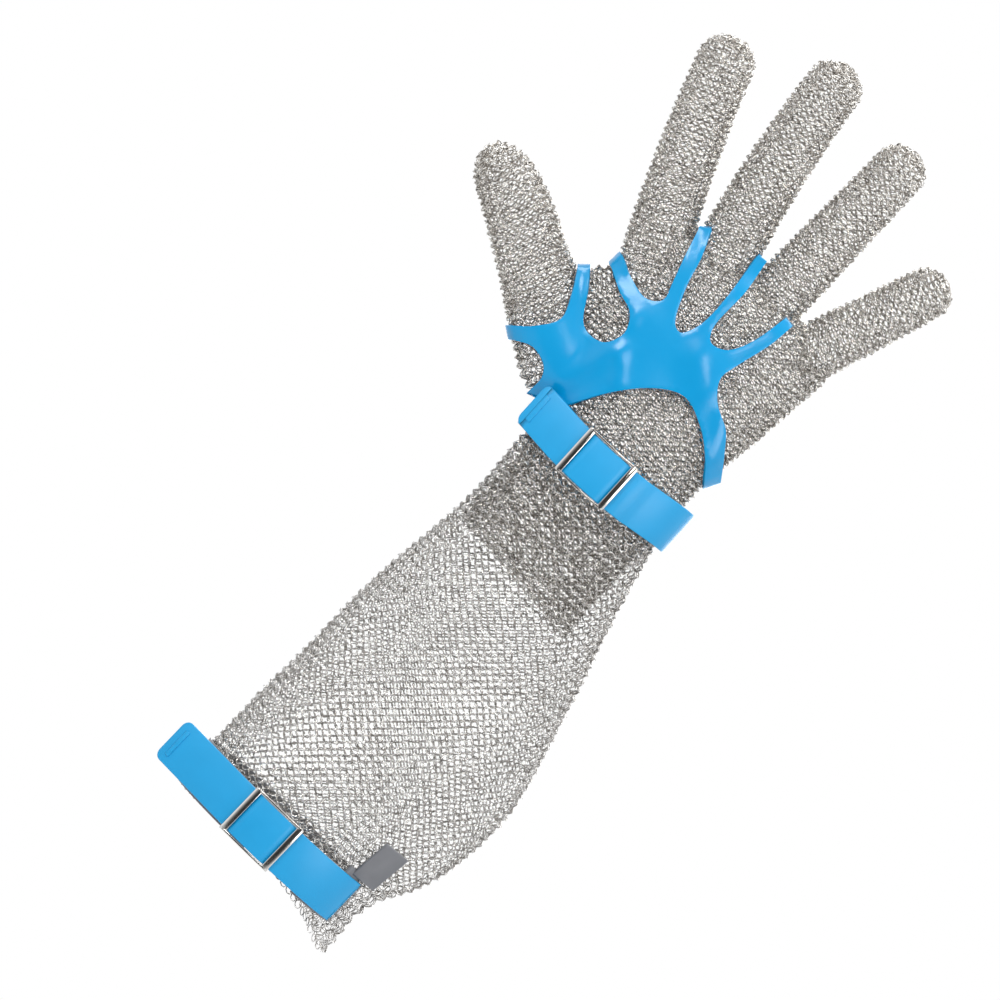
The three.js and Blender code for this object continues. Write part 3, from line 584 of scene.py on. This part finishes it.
for name in limbNames:
    node = "mail_thumb" if name == "thumb" else f"mail_{name}_finger"
    mailPiece(f"{name}Mail", openSeats(name), "fine", node)
seats = openSeats("hand")
frontSide = np.sin(seats["angle"]) <= 0
for name, part in (("handMailFront", frontSide), ("handMailBack", ~frontSide)):
    mailPiece(name, picked(seats, part), "fine", "mail_hand")

seats = ringSeats(tubes["cuff"], mail["coarse"])
frontSide = np.sin(seats["angle"]) <= 0
upper = seats["centre"][:, 2] > mail["cuffSplit"]
for side, onSide in (("Front", frontSide), ("Back", ~frontSide)):
    for level, atLevel in (("Low", ~upper), ("High", upper)):
        mailPiece("cuffMail" + side + level, picked(seats, onSide & atLevel), "coarse", "mail_cuff")
print("mail woven:", sum(ringCounts), "rings")

# Straps, band and buckles lie on the ovals that carry them. Lift is the distance of a sheet's middle
# from the seat.
strapForm = {
    "thickness": 1.8,
    "ease": 0.6,
    "gap": 0.3,
    "edge": 0.45,  # rounding of a strap's long edges
    "tabCorner": 3.0,
    "endCorner": 1.6,
    "arch": 1.45,  # rise of the strap between the buckle's bars
    "buckleWidth": 26.0,
    "buckleGauge": 1.2,
    "buckleBar": 3.0,
    "buckleRail": 1.0,
    "bandThickness": 1.2,
    "bandWidth": 22.0,
    "bandMargin": 1.0,  # taken off along the band's upper edge
    "tabLeave": 0.6,  # share of the seat's left half at which a tab leaves it
    "settle": (0.6, 1.0),  # where the strap comes down, in widths of the buckle past its middle
    "flatness": 0.96,  # of a buckle's bars and rails
}
ridgeForm = {"inset": 4.2, "rise": 0.5, "half": 0.33, "sunk": 0.3, "edge": 0.25}
bandTab = {"width": 8.5, "rise": 2.5, "low": 0.1, "edge": 0.4}
# Across: of the buckle's middle. The tab's reach and the strap's end are taken from there. The sag is
# the bow of the front towards the cuff, between x = -reach and x = reach.
wristPlace = {"across": -2.3, "tabReach": 37.5, "tilt": 0.0, "sag": 3.2, "reach": 40.0}
armPlace = {"across": -5.5, "tabReach": 52.0, "tilt": 1.8, "sag": 0.0, "reach": 50.0, "end": 44.5}
wristPlace["height"], armPlace["height"] = wristHeight, armStrapHeight

seatHeights = wristHeight + np.linspace(-0.5, 0.5, 9) * strapWidth
onCuff = smoothRows(cuffRows[:, 0], cuffRows[:, 1:], seatHeights)
onHand = smoothRows(handRows[:, 0], handRows[:, 1:], seatHeights)
wristSeat = np.where(seatHeights[:, None] <= neckHeights[-1], onCuff, onHand).max(axis=0)[:4]
armSeat = gripSections[2, 1:5] * np.array([glove["armWidth"]] * 2 + [glove["armDepth"]] * 2)
halfStrap = strapForm["thickness"] / 2
firstLift = strapForm["ease"] + halfStrap
secondLift = firstLift + strapForm["thickness"] + strapForm["gap"]
buckleLift = secondLift + halfStrap + strapForm["gap"] + strapForm["buckleGauge"] / 2


# The seat's oval seen from above, at an angle and lifted off it.
def seatPoint(seat, angle, lift):
    width = np.where(np.cos(angle) < 0, seat[0], seat[1]) + lift
    depth = np.where(np.sin(angle) < 0, seat[2], seat[3]) + lift
    return np.column_stack([width * np.cos(angle), depth * np.sin(angle)])


# The angle on the front at which the lifted oval reaches x: the arc cosine of x over the half width.
def frontAngle(seat, x, lift):
    half = (seat[0] if x < 0 else seat[1]) + lift
    return 2 * np.pi - np.arccos(np.clip(x / half, -1, 1))


# Points of the lifted oval's front from one x to another, evenly spaced in angle.
def frontLine(seat, start, end, lift, count):
    angles = np.linspace(frontAngle(seat, start, lift), frontAngle(seat, end, lift), count)
    return seatPoint(seat, angles, lift)


# A free tab leaves the seat along its tangent.
def tabLine(seat, leave, end, lift, count):
    angle = np.array([frontAngle(seat, leave, lift)])
    start = seatPoint(seat, angle, lift)[0]
    along = unit(start - seatPoint(seat, angle + 0.02, lift)[0])
    lengths = np.linspace((end - leave) / along[0], 0, count)[:-1]
    return start + lengths[:, None] * along


# A rounded bar's cross section: its four corners are quarter circles. The first column is along the
# thickness and the second along the width.
def barProfile(halfThick, halfWide, radius, count=4):
    arc = np.linspace(0, np.pi / 2, count)
    turn = np.concatenate([arc, arc + np.pi / 2, arc + np.pi, arc + 1.5 * np.pi])
    signX = np.repeat([1, -1, -1, 1], count)
    signY = np.repeat([1, 1, -1, -1], count)
    thick = signX * (halfThick - radius) + radius * np.cos(turn)
    wide = signY * (halfWide - radius) + radius * np.sin(turn)
    return np.column_stack([thick, wide])


# The profile is carried along a line seen from above: point = line + outward * p0 + up * p1. The
# width may change along the line, and both ends are closed with a fan to their middle.
def carried(line, halfThick, halfWide, radius, middleHeight=0.0):
    count = len(line)
    along = unit(np.gradient(line, axis=0))
    outward = np.column_stack([along[:, 1], -along[:, 0]])
    halves = zip(*(np.broadcast_to(half, (count,)) for half in (halfThick, halfWide)))
    rings = np.stack([barProfile(thick, wide, min(radius, thick)) for thick, wide in halves])
    sides = rings.shape[1]
    points = np.empty((count, sides, 3))
    points[..., :2] = line[:, None, :] + outward[:, None, :] * rings[..., :1]
    points[..., 2] = rings[..., 1] + middleHeight
    quads = gridFaces(count, sides, False, True)
    body = points.reshape(-1, 3)
    ends = points[[0, -1]].mean(axis=1)
    ring = np.arange(sides)
    after = (ring + 1) % sides
    lastRing = (count - 1) * sides
    first = np.column_stack([np.full(sides, len(body)), ring, after])
    last = np.column_stack([np.full(sides, len(body) + 1), after + lastRing, ring + lastRing])
    return np.vstack([body, ends]), quads, np.vstack([first, last])


# Several carried bodies become one object on their seat. On the front they sag between the two ends
# of the reach: up - sag * (1 - (x / reach)^2).
def seatedPiece(name, bodies, place, slotName, node):
    points, faces = [], []
    start = 0
    for body, quads, triangles in bodies:
        points.append(body)
        faces += (quads + start).tolist() + (triangles + start).tolist()
        start += len(body)
    points = np.vstack(points)
    slack = np.clip(1 - (points[:, 0] / place["reach"]) ** 2, 0, 1)
    points[:, 2] -= place["sag"] * slack * np.clip(-points[:, 1] / wristSeat[2], 0, 1)
    tilt = np.radians(place["tilt"])
    x = points[:, 0] * np.cos(tilt) + points[:, 2] * np.sin(tilt)
    z = points[:, 2] * np.cos(tilt) - points[:, 0] * np.sin(tilt) + place["height"]
    placed = np.column_stack([x, points[:, 1], z]) * 0.001
    mesh = bpy.data.meshes.new(name)
    mesh.from_pydata(placed.tolist(), [], faces)
    return dressed(name, mesh, slotName, node)


# The half width of a strap falls along a quarter circle at an end: corner - sqrt(corner^2 - left^2),
# where left is what is missing of the corner's length.
def roundedWidths(line, corner, otherCorner=0.0):
    half = np.full(len(line), strapWidth / 2)
    reached = lengthsAlong(line)
    for radius, away in ((corner, reached), (otherCorner, reached[-1] - reached)):
        left = np.maximum(radius - away, 0)
        half -= radius - np.sqrt(np.maximum(radius**2 - left**2, 0))
    return half


# More points along the first part of a line, so that its corners come out round.
def denserEnd(line, corner):
    ahead = unit(line[1] - line[0])
    lengths = corner * (1 - np.cos(np.linspace(0, np.pi / 2, 8)))[1:]
    return np.vstack([line[:1], line[0] + lengths[:, None] * ahead, line[1:]])


# A low bar moulded across the strap near its end: it bulges by rise / 2 * (1 - (2 s / width)^2).
def ridgeBody(line, width):
    ahead = unit(line[1] - line[0])
    outward = np.array([ahead[1], -ahead[0]])
    rise, sunk = ridgeForm["rise"], ridgeForm["sunk"]
    start = line[0] + ahead * ridgeForm["inset"] + outward * (halfStrap - sunk + rise / 2)
    steps = np.linspace(-width / 2, width / 2, 5)[:, None]
    bulge = (1 - (2 * steps / width) ** 2) * rise / 2
    line = start + ahead * steps + outward * bulge
    return carried(line, sunk, ridgeForm["half"] * strapWidth, ridgeForm["edge"])


# The free tab, with the angle at which the strap comes out from under it.
def freeTab(seat, place):
    leave = -strapForm["tabLeave"] * seat[0]
    tab = tabLine(seat, leave, place["across"] - place["tabReach"], secondLift, 8)
    return tab, frontAngle(seat, leave, secondLift)


# The strap arches up between the buckle's bars: arch * smoothstep of the way in from the bar.
def archLift(x, place):
    window = strapForm["buckleWidth"] / 2 - strapForm["buckleBar"]
    share = np.clip((window - np.abs(x - place["across"])) / 3.2, 0, 1)
    return strapForm["arch"] * share**2 * (3 - 2 * share)


# Half thickness over the bar's width: sqrt(1 - (flatness s)^2), s from -1 to 1, as a flattened rod has.
def barSwell(count):
    return np.sqrt(1 - (strapForm["flatness"] * np.linspace(-1, 1, count)) ** 2)


# A buckle: two swelled bars across the strap, joined by two thin rails along its edges.
def buckleBodies(seat, place):
    half = strapForm["buckleWidth"] / 2
    edge = strapWidth / 2 + strapForm["gap"]
    outer = edge + strapForm["buckleRail"]
    gauge = strapForm["buckleGauge"] / 2
    bodies = []
    for x in (-half, half - strapForm["buckleBar"]):
        left = place["across"] + x
        line = frontLine(seat, left, left + strapForm["buckleBar"], buckleLift, 13)
        bodies.append(carried(line, gauge * barSwell(13), outer, 0.2))
    rail = frontLine(seat, place["across"] - half + 0.3, place["across"] + half - 0.3, buckleLift, 20)
    for height in (-outer + strapForm["buckleRail"] / 2, outer - strapForm["buckleRail"] / 2):
        bodies.append(carried(rail, gauge * strapForm["flatness"], strapForm["buckleRail"] / 2, 0.3, height))
    return bodies


# Wrist strap: tab, over the buckle, once round the wrist and back under the tab.
tab, start = freeTab(wristSeat, wristPlace)
finish = frontAngle(wristSeat, wristPlace["across"], firstLift) + 2 * np.pi
angles = np.linspace(start, finish, 360)
settle = [wristPlace["across"] + share * strapForm["buckleWidth"] for share in strapForm["settle"]]
high, low = (frontAngle(wristSeat, x, secondLift) for x in settle)
down = np.clip((angles - high) / (low - high), 0, 1)
lift = secondLift + (firstLift - secondLift) * down**2 * (3 - 2 * down)
firstTurn = angles < 2 * np.pi
lift += np.where(firstTurn, archLift(seatPoint(wristSeat, angles, secondLift)[:, 0], wristPlace), 0)
loop = seatPoint(wristSeat, angles, lift)
line = denserEnd(np.vstack([tab, loop]), strapForm["tabCorner"])
wristBodies = [
    carried(line, halfStrap, roundedWidths(line, strapForm["tabCorner"]), strapForm["edge"]),
    ridgeBody(line, 2.4),
]
seatedPiece("wristStrap", wristBodies, wristPlace, "strap", "wrist_strap")
wristBuckle = buckleBodies(wristSeat, wristPlace)
seatedPiece("wristBuckle", wristBuckle, wristPlace, "buckle_steel", "wrist_buckle")

# Cuff strap: tab and the stretch over the front, ending on the band.
tab, start = freeTab(armSeat, armPlace)
finish = frontAngle(armSeat, armPlace["across"] + armPlace["end"], secondLift)
angles = np.linspace(start, finish, 170)
lift = secondLift + archLift(seatPoint(armSeat, angles, secondLift)[:, 0], armPlace)
line = denserEnd(np.vstack([tab, seatPoint(armSeat, angles, lift)]), strapForm["tabCorner"])
line = denserEnd(line[::-1], strapForm["endCorner"])[::-1]
armWidths = roundedWidths(line, strapForm["tabCorner"], strapForm["endCorner"])
armBodies = [
    carried(line, halfStrap, armWidths, strapForm["edge"]),
    ridgeBody(line, 2.0),
]
seatedPiece("cuffStrap", armBodies, armPlace, "strap", "cuff_strap")
armBuckle = buckleBodies(armSeat, armPlace)
seatedPiece("cuffBuckle", armBuckle, armPlace, "buckle_steel", "cuff_buckle")

# Band: from under the strap's right end round the hidden side to the buckle, with a tab at the end.
bandLift = strapForm["ease"] + strapForm["bandThickness"] / 2
start = frontAngle(armSeat, armPlace["across"] + strapForm["buckleWidth"], bandLift)
finish = frontAngle(armSeat, armPlace["across"], bandLift) + 2 * np.pi
bandLine = seatPoint(armSeat, np.linspace(start, finish, 240), bandLift)
bandHalf, halfMargin = strapForm["bandWidth"] / 2, strapForm["bandMargin"] / 2
halfThick = strapForm["bandThickness"] / 2
bodies = [carried(bandLine, halfThick, bandHalf - halfMargin, bandTab["edge"], -halfMargin)]
tabStrip = frontLine(armSeat, armSeat[1] - bandTab["width"], armSeat[1] - 0.1, bandLift, 8)
low, high = bandTab["low"], bandHalf + bandTab["rise"]
bodies.append(carried(tabStrip, halfThick, (high - low) / 2, bandTab["edge"], (high + low) / 2))
seatedPiece("cuffBand", bodies, armPlace, "band", "cuff_band")

# The band's tail rises over the strap on the outside of the mail and leans to the loose side. Its
# points lie on the cuff's oval at x = left + lean * rise + width * u, where the rise is height * v.
tailForm = {"width": 11.0, "height": 19.0, "inset": 5.5, "lean": 0.125, "gap": 0.3}
bottom = armStrapHeight + strapWidth / 2
u, v = np.meshgrid(np.linspace(0, 1, 19), np.linspace(0, 1, 31), indexing="ij")
rise = tailForm["height"] * v
x = armSeat[1] - tailForm["inset"] + tailForm["lean"] * rise + tailForm["width"] * u
angle = np.linspace(1.5 * np.pi, 2 * np.pi, 400)
middleLift = tailForm["gap"] + halfThick
tailY = np.empty_like(x)
for k in range(v.shape[1]):
    t = np.full_like(angle, bottom + rise[0, k])
    wall = tubePoints(tubes["cuff"], t, angle, middleLift)
    tailY[:, k] = np.interp(x[:, k], wall[:, 0], wall[:, 1])
points = np.column_stack([x.ravel(), tailY.ravel(), (bottom + rise).ravel()])
tail = meshObject("cuffBandTail", points, gridFaces(*u.shape), "band", "cuff_band")
wall = tail.modifiers.new("thickness", "SOLIDIFY")
wall.thickness = strapForm["bandThickness"] * 0.001
wall.offset = 0
print("straps, band and buckles made")

# Tensioner: outline from arm to arm. The first two points are the corners of an arm's end, and the
# others are the edge on the way to the next arm, each across and up as for the fingers.
tensionerArms = [
    ([[-0.628, 0.28], [-0.588, 0.298]],
     [[-0.535, 0.26], [-0.45, 0.197], [-0.345, 0.197], [-0.307, 0.24], [-0.345, 0.282], [-0.44, 0.303]]),
    ([[-0.528, 0.331], [-0.524, 0.364]],
     [[-0.44, 0.342], [-0.34, 0.328], [-0.28, 0.35], [-0.3, 0.395], [-0.335, 0.455]]),
    ([[-0.368, 0.519], [-0.326, 0.534]],
     [[-0.28, 0.475], [-0.245, 0.405], [-0.185, 0.333], [-0.135, 0.324], [-0.1, 0.365], [-0.095, 0.435]]),
    ([[-0.115, 0.558], [-0.07, 0.56]],
     [[-0.052, 0.48], [-0.055, 0.385], [-0.02, 0.35], [0.05, 0.362], [0.105, 0.415]]),
    ([[0.139, 0.496], [0.183, 0.492]],
     [[0.165, 0.43], [0.12, 0.347], [0.107, 0.305], [0.16, 0.265], [0.26, 0.233], [0.32, 0.195]]),
    ([[0.374, 0.157], [0.336, 0.122]],
     [[0.275, 0.16], [0.18, 0.2], [0.05, 0.226], [-0.07, 0.195], [-0.19, 0.125]]),
    ([[-0.3, 0.03], [-0.44, 0.01]], [[-0.437, 0.055], [-0.475, 0.08], [-0.55, 0.09]]),
    ([[-0.62, 0.076], [-0.668, 0.095]], [[-0.595, 0.128], [-0.54, 0.175], [-0.575, 0.23]]),
]
tipBulges = [1.5, 2.0, 1.0, 1.0, 1.0, 3.0, None, 2.5]  # None: the end lies under the wrist strap
tensionerForm = {"thickness": 1.4, "lift": 1.35, "ease": 0.4, "softness": 3.0}
sheetSteps = {"inside": 1.7, "edge": 1.2}  # between the sheet's points
# Soft folds on the front: both ends as x and z in millimetres, rise, and width either way.
tensionerFolds = [
    ((-37.0, 231.0), (-30.0, 253.0), 1.5, 4.0),
    ((-27.0, 257.0), (-20.0, 247.0), 1.0, 3.4),
    ((-32.0, 272.0), (-31.0, 268.0), 0.6, 2.6),
    ((0.0, 276.0), (9.0, 269.0), 2.2, 9.0),
    ((22.0, 264.0), (31.0, 250.0), 1.0, 3.6),
]


# A centripetal Catmull-Rom curve: knots are the square roots of the chords added up, and the points
# between two of them come from a cubic with the slopes of that spacing.
def edgeCurve(points, count):
    chords = np.sqrt(np.linalg.norm(np.diff(points, axis=0), axis=1))
    knots = np.concatenate([[0], np.cumsum(chords)])
    return smoothRows(knots, points, np.linspace(0, knots[-1], count))


# The outline's points, with the places in it of the two corners of each arm's end.
def tensionerOutline():
    scale = np.array([handWidth, handLength])
    base = np.array([0, wristHeight])
    outline, pairs = [], []
    reached = 0
    for i, (tip, valley) in enumerate(tensionerArms):
        after = tensionerArms[(i + 1) % len(tensionerArms)][0][0]
        points = np.array([tip[1], *valley, after]) * scale + base
        length = lengthsAlong(points)[-1]
        outline.append(edgeCurve(points, max(int(length / sheetSteps["edge"]), 4)))
        pairs.append([reached - 1, reached])
        reached += len(outline[-1])
    pairs[0][0] = reached - 1
    return np.vstack(outline), pairs


# How far the walls stand out on one side over a grid of x and z: the most that any tube's points
# reach there, softened with a Gaussian, so that the sheet bridges the valleys between fingers.
reliefStep = 0.5
reliefLow = np.array([-130.0, 200.0])
reliefSize = (400, 400)


def relief(side, grow, softness):
    height = np.zeros(reliefSize)
    for name in ("hand", *limbNames):
        last = len(tubes[name]["table"]) - 1
        t, angle = np.meshgrid(np.linspace(0, last, 6 * last), np.linspace(0, np.pi, 500), indexing="ij")
        points = tubePoints(tubes[name], t, side * angle, grow).reshape(-1, 3)
        cell = np.round((points[:, [0, 2]] - reliefLow) / reliefStep).astype(int)
        inside = np.all((cell >= 0) & (cell < reliefSize[0]), axis=1)
        cell = cell[inside]
        np.maximum.at(height, (cell[:, 0], cell[:, 1]), side * points[inside, 1])
    reach = np.arange(-12, 13) * reliefStep
    kernel = np.exp(-0.5 * (reach / softness) ** 2)
    kernel /= kernel.sum()
    for axis in (0, 1):
        height = np.apply_along_axis(lambda row: np.convolve(row, kernel, mode="same"), axis, height)
    return height


# The height at x and z: the four cells round the point, each weighted by how near it is.
def sampled(height, x, z):
    u = (x - reliefLow[0]) / reliefStep
    v = (z - reliefLow[1]) / reliefStep
    i, k = np.floor(u).astype(int), np.floor(v).astype(int)
    fu, fv = u - i, v - k
    return (
        height[i, k] * (1 - fu) * (1 - fv)
        + height[i + 1, k] * fu * (1 - fv)
        + height[i, k + 1] * (1 - fu) * fv
        + height[i + 1, k + 1] * fu * fv
    )


# Each fold rises by rise * exp(-(distance from its line / width)^2).
def foldRise(x, z):
    total = np.zeros_like(x)
    for start, end, rise, width in tensionerFolds:
        start, end = np.array(start), np.array(end)
        offset = np.column_stack([x, z]) - start
        share = np.clip(offset @ (end - start) / np.sum((end - start) ** 2), 0, 1)
        away = np.linalg.norm(offset - share[:, None] * (end - start), axis=1)
        total += rise * np.exp(-((away / width) ** 2))
    return total


# A point is inside when a line to its right crosses the outline an odd number of times.
def insideOutline(points, outline):
    after = np.roll(outline, -1, axis=0)
    crosses = (outline[None, :, 1] > points[:, None, 1]) != (after[None, :, 1] > points[:, None, 1])
    rise = after[:, 1] - outline[:, 1]
    rise = np.where(np.abs(rise) < 1e-9, 1e-9, rise)
    share = (points[:, None, 1] - outline[None, :, 1]) / rise
    meets = outline[None, :, 0] + share * (after - outline)[None, :, 0]
    return np.sum(crosses & (meets > points[:, None, 0]), axis=1) % 2 == 1


# The outline and a grid of points inside it are joined into triangles, laid on the front and back.
outline, tipPairs = tensionerOutline()
spacing = sheetSteps["inside"]
low, high = outline.min(axis=0), outline.max(axis=0)
steps = [np.arange(low[k], high[k], spacing) for k in (0, 1)]
gridX, gridZ = np.meshgrid(*steps, indexing="ij")
gridX[:, ::2] += spacing / 2
grid = np.column_stack([gridX.ravel(), gridZ.ravel()])
clear = np.min(np.linalg.norm(grid[:, None, :] - outline[None, :, :], axis=2), axis=1) > 0.6 * spacing
inner = grid[insideOutline(grid, outline) & clear]
given = [Vector(point) for point in np.vstack([outline, inner]).tolist()]
placed, _, triangles, _, _, _ = delaunay_2d_cdt(given, [], [list(range(len(outline)))], 1, 1e-6)
flat = np.array([tuple(point) for point in placed])
triangles = np.array([face for face in triangles if len(face) == 3])
sides, faces = [], []
for side in (-1, 1):
    height = relief(side, tensionerForm["lift"], tensionerForm["softness"])
    y = side * (sampled(height, flat[:, 0], flat[:, 1]) + tensionerForm["ease"])
    if side < 0:
        y -= foldRise(flat[:, 0], flat[:, 1])
    sides.append(np.column_stack([flat[:, 0], y, flat[:, 1]]))
    corner = [0, 1, 2] if side < 0 else [0, 2, 1]
    faces.append(triangles[:, corner] + (len(flat) if side > 0 else 0))
points = np.vstack(sides)

# At each arm's end a bridge joins the two sides round the mail. Its points run from the front corner
# to the back one at share s, and stand out by bulge * sin(pi s) along the arm, whose heading is
# taken from the outline's points tipReach places back.
tipReach = 6
for (first, second), bulge in zip(tipPairs, tipBulges):
    if bulge is None:
        continue
    tip, root = flat[[first, second]].mean(axis=0), flat[[first - tipReach, second + tipReach]].mean(axis=0)
    ahead = unit(tip - root)
    share = np.linspace(0, 1, 9)[1:-1]
    columns = []
    for corner in (first, second):
        front, rear = points[corner], points[corner + len(flat)]
        between = front + share[:, None] * (rear - front)
        columns.append(between + np.sin(np.pi * share)[:, None] * bulge * np.array([ahead[0], 0, ahead[1]]))
    start = len(points)
    points = np.vstack([points, *columns])
    count = len(share)
    left = [first, *range(start, start + count), first + len(flat)]
    right = [second, *range(start + count, start + 2 * count), second + len(flat)]
    for k in range(count + 1):
        faces.append(np.array([[left[k], right[k], right[k + 1]], [left[k], right[k + 1], left[k + 1]]]))
tensioner = meshObject("tensionerSheet", points, np.vstack(faces), "tensioner_sheet", "tensioner")
wall = tensioner.modifiers.new("thickness", "SOLIDIFY")
wall.thickness = tensionerForm["thickness"] * 0.001
wall.offset = 0
rim = tensioner.modifiers.new("rim", "BEVEL")
rim.width = 0.0004  # rounded edge of the cast sheet
rim.segments = 2
rim.limit_method = "ANGLE"
rim.angle_limit = np.radians(50)
print("tensioner laid:", len(flat), "points a side")

# Plain pale floor well below the glove, and even white light. Reflections see a room that darkens
# towards the camera's side, which gives the steel its dark sides.
floorForm = {"reach": 3.0, "drop": -1.0}
reach, drop = floorForm["reach"], floorForm["drop"]
floorMesh = bpy.data.meshes.new("floor")
corners = [(-reach, -reach, drop), (reach, -reach, drop), (reach, reach, drop), (-reach, reach, drop)]
floorMesh.from_pydata(corners, [], [(0, 1, 2, 3)])
floor = bpy.data.objects.new("floor", floorMesh)
bpy.context.scene.collection.objects.link(floor)
floorPaint, tree, surface, place = startMaterial("matt white studio floor", Roughness=0.9)
blotches = addNode(tree, "TexNoise", Vector=place, Scale=2.0, Detail=2.0)
whites = shades(0xF4F4F4, 0xFAFAFA)
paint = addNode(tree, "Mix", colourMix, Factor=blotches.outputs["Fac"], **whites)
feed(tree, surface, Base_Color=paint.outputs[2])
floorMesh.materials.append(floorPaint)

scene = bpy.context.scene
scene.view_settings.view_transform = "Standard"
world = bpy.data.worlds.new("white studio")
scene.world = world
world.use_nodes = True
tree = world.node_tree
tree.nodes.clear()
heading = addNode(tree, "TexCoord").outputs["Generated"]
parts = addNode(tree, "SeparateXYZ", Vector=heading)
ends = {"From_Min": -0.98, "From_Max": -0.35, "To_Min": 0.04, "To_Max": 1.15}
smooth = {"interpolation_type": "SMOOTHSTEP"}
room = addNode(tree, "MapRange", smooth, Value=parts.outputs["Y"], **ends)
seen = addNode(tree, "Background", Color=linearColour(0xFFFFFF), Strength=1.0)
around = addNode(tree, "Background", Color=linearColour(0xF6F8FC), Strength=0.72)
cool = linearColour(0xFAFBFF)
mirrored = addNode(tree, "Background", Color=cool, Strength=room.outputs["Result"])
ray = addNode(tree, "LightPath")
isGlossy, isCamera = ray.outputs["Is Glossy Ray"], ray.outputs["Is Camera Ray"]
lit = addNode(tree, "MixShader", Fac=isGlossy, at1=around.outputs[0], at2=mirrored.outputs[0])
mixed = addNode(tree, "MixShader", Fac=isCamera, at1=lit.outputs[0], at2=seen.outputs[0])
addNode(tree, "OutputWorld", Surface=mixed.outputs[0])

# Each softbox: name, place, size, power in watts. All look at the middle of the glove.
aim = Vector((-0.023, 0.0, 0.18))
softboxes = [
    ("keySoftbox", (-0.75, -0.9, 0.9), 0.5, 9.0),
    ("fillSoftbox", (0.9, -0.8, 0.35), 0.6, 5.0),
    ("topSoftbox", (0.1, 0.2, 1.3), 0.7, 8.0),
    ("backSoftbox", (0.2, 1.1, 0.4), 0.9, 8.0),
    ("frontSoftbox", (0.15, -1.6, 0.78), 0.4, 3.5),
]
for name, place, size, power in softboxes:
    light = bpy.data.lights.new(name, "AREA")
    light.energy = power
    light.size = size
    lamp = bpy.data.objects.new(name, light)
    scene.collection.objects.link(lamp)
    lamp.location = place
    lamp.rotation_euler = (aim - Vector(place)).to_track_quat("-Z", "Y").to_euler()

# The camera looks along +Y, turned about its own axis as the photographed glove leans.
cameraForm = {"lens": 200.0, "distance": 2.278, "turn": 42.0, "aim": (-0.0229, 0.1786)}
cameraData = bpy.data.cameras.new("camera")
cameraData.lens = cameraForm["lens"]
cameraData.sensor_width = 36.0
camera = bpy.data.objects.new("camera", cameraData)
scene.collection.objects.link(camera)
turn = np.radians(cameraForm["turn"])
right = (np.cos(turn), 0, np.sin(turn))
upward = (-np.sin(turn), 0, np.cos(turn))
back = (0, -1, 0)
spot = (cameraForm["aim"][0], -cameraForm["distance"], cameraForm["aim"][1])
camera.matrix_world = Matrix([(right[k], upward[k], back[k], spot[k]) for k in range(3)] + [(0, 0, 0, 1)])
scene.camera = camera
print("stage, lights and camera set")
